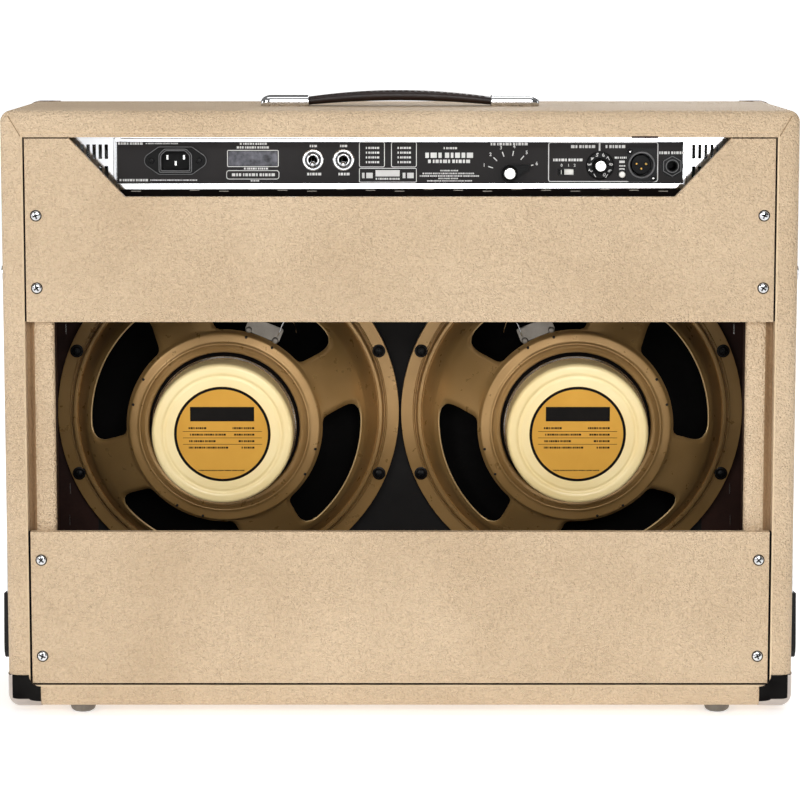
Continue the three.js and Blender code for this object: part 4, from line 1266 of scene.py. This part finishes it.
def mains_inlet():
    """Lozenge flange, recessed mouth and three blades, facing +Y."""
    shape = arc(20, 0, 6, -60, 60, 10) + [(14, 11.5), (-14, 11.5)] + arc(-20, 0, 6, 120, 240, 10)
    shape += [(-14, -11.5), (14, -11.5)]
    mouth = [(-12.2, -8.5), (12.2, -8.5), (12.2, 4.5), (8.2, 8.5), (-8.2, 8.5), (-12.2, 4.5)]
    bottom, lip = -15.5, 3.0
    outer = softened(shape, 0.8, closed=True)
    inner = softened(mouth, 1.4, closed=True)
    raised = softened([(x * 1.12, z * 1.14) for x, z in mouth], 1.4, closed=True)
    flange_ring = even_ring(outer, 2.2, 60)
    base_ring = [(x, 0.3, z) for x, _, z in flange_ring]
    black = joined(
        grid(np.array([base_ring, flange_ring, even_ring(raised, 2.2, 60)], float), wrap=True),
        band(at_depth(inner, bottom), at_depth(inner, lip)),
        band(at_depth(raised, 0.5), at_depth(raised, lip)),
        band(at_depth(inner, lip), at_depth(raised, lip)),
        (np.array(at_depth(inner, bottom), float), [tuple(range(len(inner)))]),
    )
    blade = block(-0.8, 0.8, bottom, -2.5, -1.9, 1.9)
    blades = all_at(blade, [at(x, 0, z) for x, z in ((-7, 2.6), (7, 2.6), (0, -2.5))])
    screws = all_at(screw(2.5, 1.2), [at(x, 2.1, 0) @ turn(30, "Y") for x in (-20, 20)])
    # Grey lines round the flange, the mouth and the raised rim are painted highlights.
    edge_highlights = joined(
        put(ring(outer, 0.5), at(0, 2.15, 0)),
        put(ring(inner, 0.6), at(0, lip, 0)),
        put(ring(raised, 0.6), at(0, lip - 0.05, 0)),
    )
    return [(black, BLACK_PLASTIC), (blades, ALUMINIUM), (screws, BLACK_METAL), (edge_highlights, GREY_METAL_AND_HIGHLIGHT)]


make(
    "mains_inlet_socket", "cabinet", placed(mains_inlet(), rear_at(*MAINS_INLET)),
    ["mains_inlet"], bevel=0.35,
)

TOGGLE = softened([(0, -4), (1.6, -3), (1.3, 4), (2.6, 15), (2.0, 17.6), (0, 18.4)], 0.9)
# The dress nut and washer round a toggle, as (radius, y).
DRESS = softened(
    [
        (9.3, 0.02), (9.3, 0.9), (8.4, 1.7), (7.0, 1.7), (6.3, 0.8), (5.6, 0.8), (5.4, 2.0), (4.7, 2.4),
        (3.9, 2.3), (3.5, 1.6), (3.4, -2),
    ],
    0.35,
)


def toggle_surround():
    return [(lathe(DRESS, 48), CHROME), (lathe([(6.9, 1.0), (5.5, 0.95)], 48), BLACK_METAL)]


for name, spot in TOGGLES.items():
    make(f"{name}_toggle_surround", "cabinet", placed(toggle_surround(), rear_at(*spot)))
    lever = put(lathe(TOGGLE, 24), rear_at(*spot) @ at(0, -5, 0) @ turn(-12, "X"))
    body = f"{name}_toggle_lever"
    make(f"{name}_toggle_bat", body, [(lever, CHROME)], [body])


def pointer_knob():
    """A round grip drawn out into a low pointer towards -X, with a bright cap."""
    outline = [(0, 0.9), (7, 0.9), (7, 3.0), (6.5, 11.4), (5.6, 12.0), (0, 12.0)]
    grip = lathe(softened(outline, 0.5), 48, 12, 0.35)
    touch = math.degrees(math.acos((7 - 1) / 18))  # where the pointer's sides leave the grip
    shape = arc(0, 0, 6.9, 180 - touch, touch - 180, 24) + [(-17.9, -0.9), (-17.9, 0.9)]
    black = joined(grip, slab(shape, 0.95, 5.4), block(-17.4, -8, 5.42, 5.52, -0.35, 0.35))
    shaft = lathe([(0, -14), (3, -14), (3, 1.5), (0, 1.5)], 20)
    cap = lathe(softened([(4.9, 11.7), (4.8, 12.2), (4.2, 12.4), (0, 12.4)], 0.25), 40)
    return [(black, BLACK_PLASTIC), (shaft, DULL_METAL), (cap, ALUMINIUM)]


make(
    "output_knob_moulded", "output_power_knob", placed(pointer_knob(), rear_at(*OUTPUT_KNOB) @ turn(19, "Y")),
    ["output_power_knob"], bevel=0.25,
)


FIGURES = 10  # the highest number on a dial


def dial_knob(side, skirt, height, figure_height, grip):
    """A skirted knob facing +Y (side 1) or -Y (side -1), with numbers round its skirt and a bright cap."""
    skirt_line = [(0, 0.9), (skirt, 0.9), (skirt, 1.7), (skirt - 0.7, 2.3), (grip, 2.5)]
    body = [(grip, 2.4), (grip - 0.2, 4.0), (grip - 0.8, height - 0.8), (grip - 1.7, height), (0, height)]
    cap = [(grip - 2.1, height - 0.3), (grip - 2.2, height + 0.25), (0, height + 0.25)]
    parts = [
        (lathe(softened(skirt_line, 0.35), 56), BLACK_PLASTIC),
        (lathe(softened(body, 0.5), 72, 18, 0.45), BLACK_PLASTIC),
        (lathe([(0, -14), (3, -14), (3, 1.2), (0, 1.2)], 20), DULL_METAL),
        (lathe(softened(cap, 0.2), 40), ALUMINIUM),
        (block(-0.4, 0.4, height + 0.26, height + 0.34, 0.6, grip - 2.5), BLACK_PLASTIC),
    ]
    parts = placed(parts, facing(side))
    radius = (skirt + grip) / 2
    for number in range(1, FIGURES + 1):
        angle = 240 - 300 * (number - 1) / (FIGURES - 1)
        way = math.radians(angle)
        spot = at(-side * radius * math.cos(way), side * 2.42, radius * math.sin(way))
        numeral = put(figure(str(number), figure_height, side), spot @ turn(side * (90 - angle), "Y"))
        parts.append((numeral, PRINT))
    return parts


make(
    "level_knob_moulded", "line_level_knob", placed(dial_knob(1, 11.8, 11.7, 3.2, 6.6), rear_at(*LEVEL_KNOB)),
    ["line_level_knob"],
)

slide = [
    (frame_bars(-6.9, 6.9, -2.95, 2.95, (0.4, 0.4, 0.4), -3, 0.3), BLACK_METAL),
    (block(-6.5, 6.5, -3.2, -2.4, -2.6, 2.6), BLACK_PLASTIC),
    (block(-6.4, 1.4, -3.0, -2.3, -2.5, 2.5), IVORY),
]
make("slide_switch_body", "cabinet", placed(slide, rear_at(*SLIDE_SWITCH)))
slider = [
    (block(-2.3, 2.3, -2.2, 2.0, -2.2, 2.2), BLACK_PLASTIC),
    (block(-0.3, 0.3, 2.0, 2.08, -1.8, 1.8), PRINT),
]
make(
    "slide_switch_button", "cab_sim_slider", placed(slider, rear_at(*SLIDE_SWITCH) @ at(4.1, 0, 0)),
    ["cab_sim_slider"], bevel=0.25,
)
button = lathe(softened([(0, -9), (2.7, -9), (2.7, 3.2), (2.3, 3.9), (0, 4)], 0.5), 28)
make(
    "lift_button_moulded", "ground_lift_button", placed([(button, IVORY)], rear_at(*LIFT_BUTTON)),
    ["ground_lift_button"],
)
collar = lathe(softened([(4.2, 0.02), (4.2, 0.6), (3.1, 0.6), (3.1, -1)], 0.2), 28)
make("lift_button_collar", "cabinet", placed([(collar, BLACK_METAL)], rear_at(*LIFT_BUTTON)))


def open_plate(outline, radius, y0, y1):
    """A plate with a round hole in its middle."""
    rim = even_ring(outline, y0, 64)
    face = [(x, y1, z) for x, _, z in rim]
    hole = [(radius * x / math.hypot(x, z), y1, radius * z / math.hypot(x, z)) for x, _, z in rim]
    well = [(x, y0, z) for x, _, z in hole]
    return grid(np.array([rim, face, hole, well], float), wrap=True)


def line_out():
    """A round three-pin socket on a square flange with two screws."""
    flange = open_plate(rounded(-12.6, 12.6, -14.2, 14.2, 2.4), 11.2, 0.3, 1.3)
    shell = softened(
        [(11.4, 1.2), (11.4, 2.2), (10.9, 2.7), (10.1, 2.7), (9.8, 1.6), (9.8, -13.5), (0, -13.5)], 0.3
    )
    insert = lathe(softened([(8.6, -13.4), (8.6, -5.2), (8.0, -4.6), (0, -4.6)], 0.4), 48)
    pin = lathe(softened([(1.1, -5), (1.1, -1.6), (0.7, -1.0), (0, -0.9)], 0.2), 16)
    pins = all_at(pin, [at(x, 0, z) for x, z in ((-4, 0.7), (4, 0.7), (0, -3.3))])
    corners = [at(9.9, 0, 11.2), at(-9.9, 0, -11.2)]
    screws = all_at(put(screw(2.3, 1.0), at(0, 1.2, 0)), corners)
    glints = all_at(lathe([(0.9, 2.0), (0.6, 2.3), (0, 2.3)], 16), corners)
    return [
        (flange, BLACK_METAL), (lathe(shell, 56), GREY_METAL_AND_HIGHLIGHT), (insert, BLACK_PLASTIC), (pins, BRASS),
        (screws, BLACK_METAL), (glints, ALUMINIUM),
    ]


make(
    "line_out_connector", "cabinet", placed(line_out(), rear_at(*LINE_OUT)),
    ["line_out_socket"],
)


def jack(nut_material, side):
    """A 6.35 mm jack: body behind the panel, washer, hexagonal nut and bore."""
    washer = lathe(softened([(9.6, 0.05), (9.6, 0.5), (5, 0.5)], 0.2), 40)
    hexagon = polygon(6, 8.4, 30)
    nut_ring = [(x, 0.5, z) for x, z in along([*hexagon, hexagon[0]], 0, 0, 48)[:-1]]
    nut_edge = [(x, 2.3, z) for x, _, z in nut_ring]
    nut_face = [(5.6 * x / math.hypot(x, z), 2.6, 5.6 * z / math.hypot(x, z)) for x, _, z in nut_ring]
    nut = grid(np.array([nut_ring, nut_edge, nut_face], float), wrap=True)
    bush = lathe(softened([(5.6, 2.4), (5.5, 3.2), (4.2, 3.4), (3.55, 2.6), (3.55, -24), (0, -24)], 0.3), 36)
    barrel = lathe([(3.6, -3.2), (8, -3.2), (8, -24), (3.6, -24)], 24)
    parts = [(washer, nut_material), (nut, nut_material), (bush, nut_material), (barrel, BLACK_PLASTIC)]
    if nut_material is BLACK_METAL:
        # Grey lines on the nut's and the bush's edges are painted highlights.
        nut_highlight = put(ring(hexagon, 0.5), at(0, 2.25, 0))
        bush_highlight = put(ring(polygon(40, 5.2), 0.6), at(0, 3.2, 0))
        parts.append((joined(nut_highlight, bush_highlight), GREY_METAL_AND_HIGHLIGHT))
    return placed(parts, facing(side))


make(
    "footswitch_connector", "cabinet", placed(jack(BLACK_METAL, 1), rear_at(*FOOTSWITCH)),
    ["footswitch_jack"],
)

# ---------------------------------------------------------------- front controls


def control_at(x):
    return CONTROLS @ at(x, 0, FRONT_ROW)


# Places along the front panel's row.
INPUTS = {"normal_one": -268, "normal_two": -240, "reverb_one": -56, "reverb_two": -28}
BRIGHT_TOGGLES = {"normal": -212, "reverb": 0}
LAMP = 260
KNOBS = {
    "normal_volume": -184, "normal_treble": -152, "normal_middle": -120, "normal_bass": -88,
    "reverb_volume": 30, "reverb_treble": 62, "reverb_middle": 94, "reverb_bass": 126, "reverb_level": 158,
    "tremolo_speed": 190, "tremolo_depth": 222,
}
for name, x in INPUTS.items():
    make(
        f"input_connector_{name}", "cabinet", placed(jack(CHROME, -1), control_at(x)),
        [f"input_jack_{name}"],
    )

for name, x in BRIGHT_TOGGLES.items():
    surround = placed(toggle_surround(), control_at(x) @ facing(-1))
    make(f"{name}_bright_surround", "cabinet", surround)
    lever = put(lathe([(r, -y) for r, y in TOGGLE], 24), control_at(x) @ at(0, 5, 0) @ turn(12, "X"))
    body = f"{name}_bright_lever"
    make(f"{name}_bright_bat", body, [(lever, CHROME)], [body])

for name, x in KNOBS.items():
    make(
        f"dial_{name}", f"knob_{name}", placed(dial_knob(-1, 12.5, 15.7, 2.7, 7.6), control_at(x)),
        [f"knob_{name}"],
    )

lamp_ring = softened([(9, -0.3), (8.8, -2.0), (8.0, -2.9), (6.4, -3.1), (6.2, -2.0)], 0.4)
lamp = [
    (lathe(lamp_ring, 40), CHROME),
    (lathe([(0, 18), (6.4, 18), (6.4, 0.2), (0, 0.2)], 24), BLACK_PLASTIC),
    (lathe([(6.5, 0), (6.5, -0.3), (6.3, -2.9), (5.4, -5.0), (3.6, -7.3), (0, -8.4)], 12), JEWEL),
]
make("pilot_jewel", "cabinet", placed(lamp, control_at(LAMP)), ["pilot_lamp"])


def front_print():
    """Index marks over the knobs and a line under each group, printed on the front panel."""
    parts = []
    for x in KNOBS.values():
        parts.append(stroke((x, 469.6), (x, 472.4), 0.8))
        parts.append(ruled_row(x - 8, x + 8, 477.0, 2.2))
    for x0, x1 in ((-284, -74), (-72, 174), (176, 240)):
        parts.append(stroke((x0 + 4, 435.5), (x1 - 4, 435.5), 0.6))
    for number, x in enumerate(INPUTS.values()):
        parts.append(put(figure(str(number % 2 + 1), 3.0, 1), at(x, 0, 470.5)))
    for x in (*BRIGHT_TOGGLES.values(), LAMP):
        parts.append(ruled_row(x - 8, x + 8, 477.0, 2.2))
    return joined(*parts)


mirror = Matrix.Diagonal((1, -1, 1, 1))
flat_print = put(front_print(), mirror)
make("front_print", "cabinet", [(put(flat_print, CONTROLS), PRINT)])

# ---------------------------------------------------------------- floor and light


def light_floor(material):
    """Lifts the floor to white round the cabinet and far away, less so where the key light falls."""
    tree = material.node_tree
    shader = tree.nodes["Principled BSDF"]
    place = tree.nodes.new("ShaderNodeTexCoord").outputs["Object"]
    axes = tree.nodes.new("ShaderNodeSeparateXYZ")
    tree.links.new(place, axes.inputs[0])
    fall = tree.nodes.new("ShaderNodeMapRange")
    fall.inputs["From Min"].default_value = -4
    fall.inputs["From Max"].default_value = 1.5
    tree.links.new(axes.outputs["Y"], fall.inputs["Value"])
    ramp_node = tree.nodes.new("ShaderNodeValToRGB")
    ramp = ramp_node.color_ramp
    ramp.elements[0].color = (0.92, 0.92, 0.92, 1)
    ramp.elements[1].color = (0, 0, 0, 1)
    for where, strength in ((0.55, 0.64), (0.8, 0.46)):
        ramp.elements.new(where).color = (strength, strength, strength, 1)
    tree.links.new(fall.outputs["Result"], ramp_node.inputs["Fac"])
    away = tree.nodes.new("ShaderNodeVectorMath")
    away.operation = "LENGTH"
    tree.links.new(place, away.inputs[0])
    horizon = tree.nodes.new("ShaderNodeMapRange")
    horizon.inputs["From Min"].default_value = 2.5
    horizon.inputs["From Max"].default_value = 7
    tree.links.new(away.outputs["Value"], horizon.inputs["Value"])
    brighter = tree.nodes.new("ShaderNodeMath")
    brighter.operation = "MAXIMUM"
    tree.links.new(ramp_node.outputs["Color"], brighter.inputs[0])
    tree.links.new(horizon.outputs["Result"], brighter.inputs[1])
    tree.links.new(brighter.outputs[0], shader.inputs["Emission Strength"])
    shader.inputs["Emission Color"].default_value = (1, 1, 1, 1)


FLOOR_REACH = 600  # m, out to the horizon
light_floor(FLOOR)
floor_mesh = bpy.data.meshes.new("floor")
corners = [(-FLOOR_REACH, -FLOOR_REACH, 0), (FLOOR_REACH, -FLOOR_REACH, 0)]
corners += [(FLOOR_REACH, FLOOR_REACH, 0), (-FLOOR_REACH, FLOOR_REACH, 0)]
floor_mesh.from_pydata(corners, [], [(0, 1, 2, 3)])
floor_mesh.materials.append(FLOOR)
floor = bpy.data.objects.new("floor", floor_mesh)
scene.collection.objects.link(floor)


def studio_sky():
    """A room that is dim at eye level and brighter overhead."""
    world = bpy.data.worlds.new("studio")
    scene.world = world
    world.use_nodes = True
    tree = world.node_tree
    axes = tree.nodes.new("ShaderNodeSeparateXYZ")
    tree.links.new(tree.nodes.new("ShaderNodeTexCoord").outputs["Generated"], axes.inputs[0])
    brightness = tree.nodes.new("ShaderNodeMapRange")
    brightness.inputs["From Max"].default_value = 0.6
    brightness.inputs["To Min"].default_value = 0.05
    brightness.inputs["To Max"].default_value = 0.22
    tree.links.new(axes.outputs["Z"], brightness.inputs["Value"])
    tree.links.new(brightness.outputs["Result"], tree.nodes["Background"].inputs["Strength"])
    tree.nodes["Background"].inputs["Color"].default_value = (1, 1, 1, 1)


studio_sky()


def softbox(name, place, target, size, power):
    data = bpy.data.lights.new(name, "AREA")
    data.shape = "RECTANGLE"
    data.size, data.size_y = size
    data.energy = power
    light = bpy.data.objects.new(name, data)
    light.location = place
    way = Vector(target) - Vector(place)
    light.rotation_euler = way.to_track_quat("-Z", "Y").to_euler()
    scene.collection.objects.link(light)


softbox("key", (-0.33, 3.4, 1.5), (0, 0, 0.25), (1.7, 1.2), 55)
softbox("fill", (1.75, 3.0, 1.2), (0, 0, 0.25), (0.9, 1.2), 27)
softbox("low_card", (-0.36, 3.3, 0.3), (-0.36, 0, 0.3), (0.7, 0.34), 4.2)
softbox("dim_card", (0.25, 3.3, 0.3), (0.25, 0, 0.3), (0.5, 0.34), 1.1)
softbox("overhead", (0, 0.2, 3.0), (0, 0, 0.2), (2.2, 1.2), 22)
softbox("left_side", (3.0, 0.2, 0.9), (0.3, 0, 0.25), (1.2, 1.2), 15)
softbox("right_side", (-3.0, 0.2, 0.9), (-0.3, 0, 0.25), (1.2, 1.2), 7)
softbox("front", (-0.9, -3.0, 2.0), (0, 0, 0.25), (1.8, 1.6), 34)

scene.view_settings.view_transform = "Standard"
scene.view_settings.look = "None"
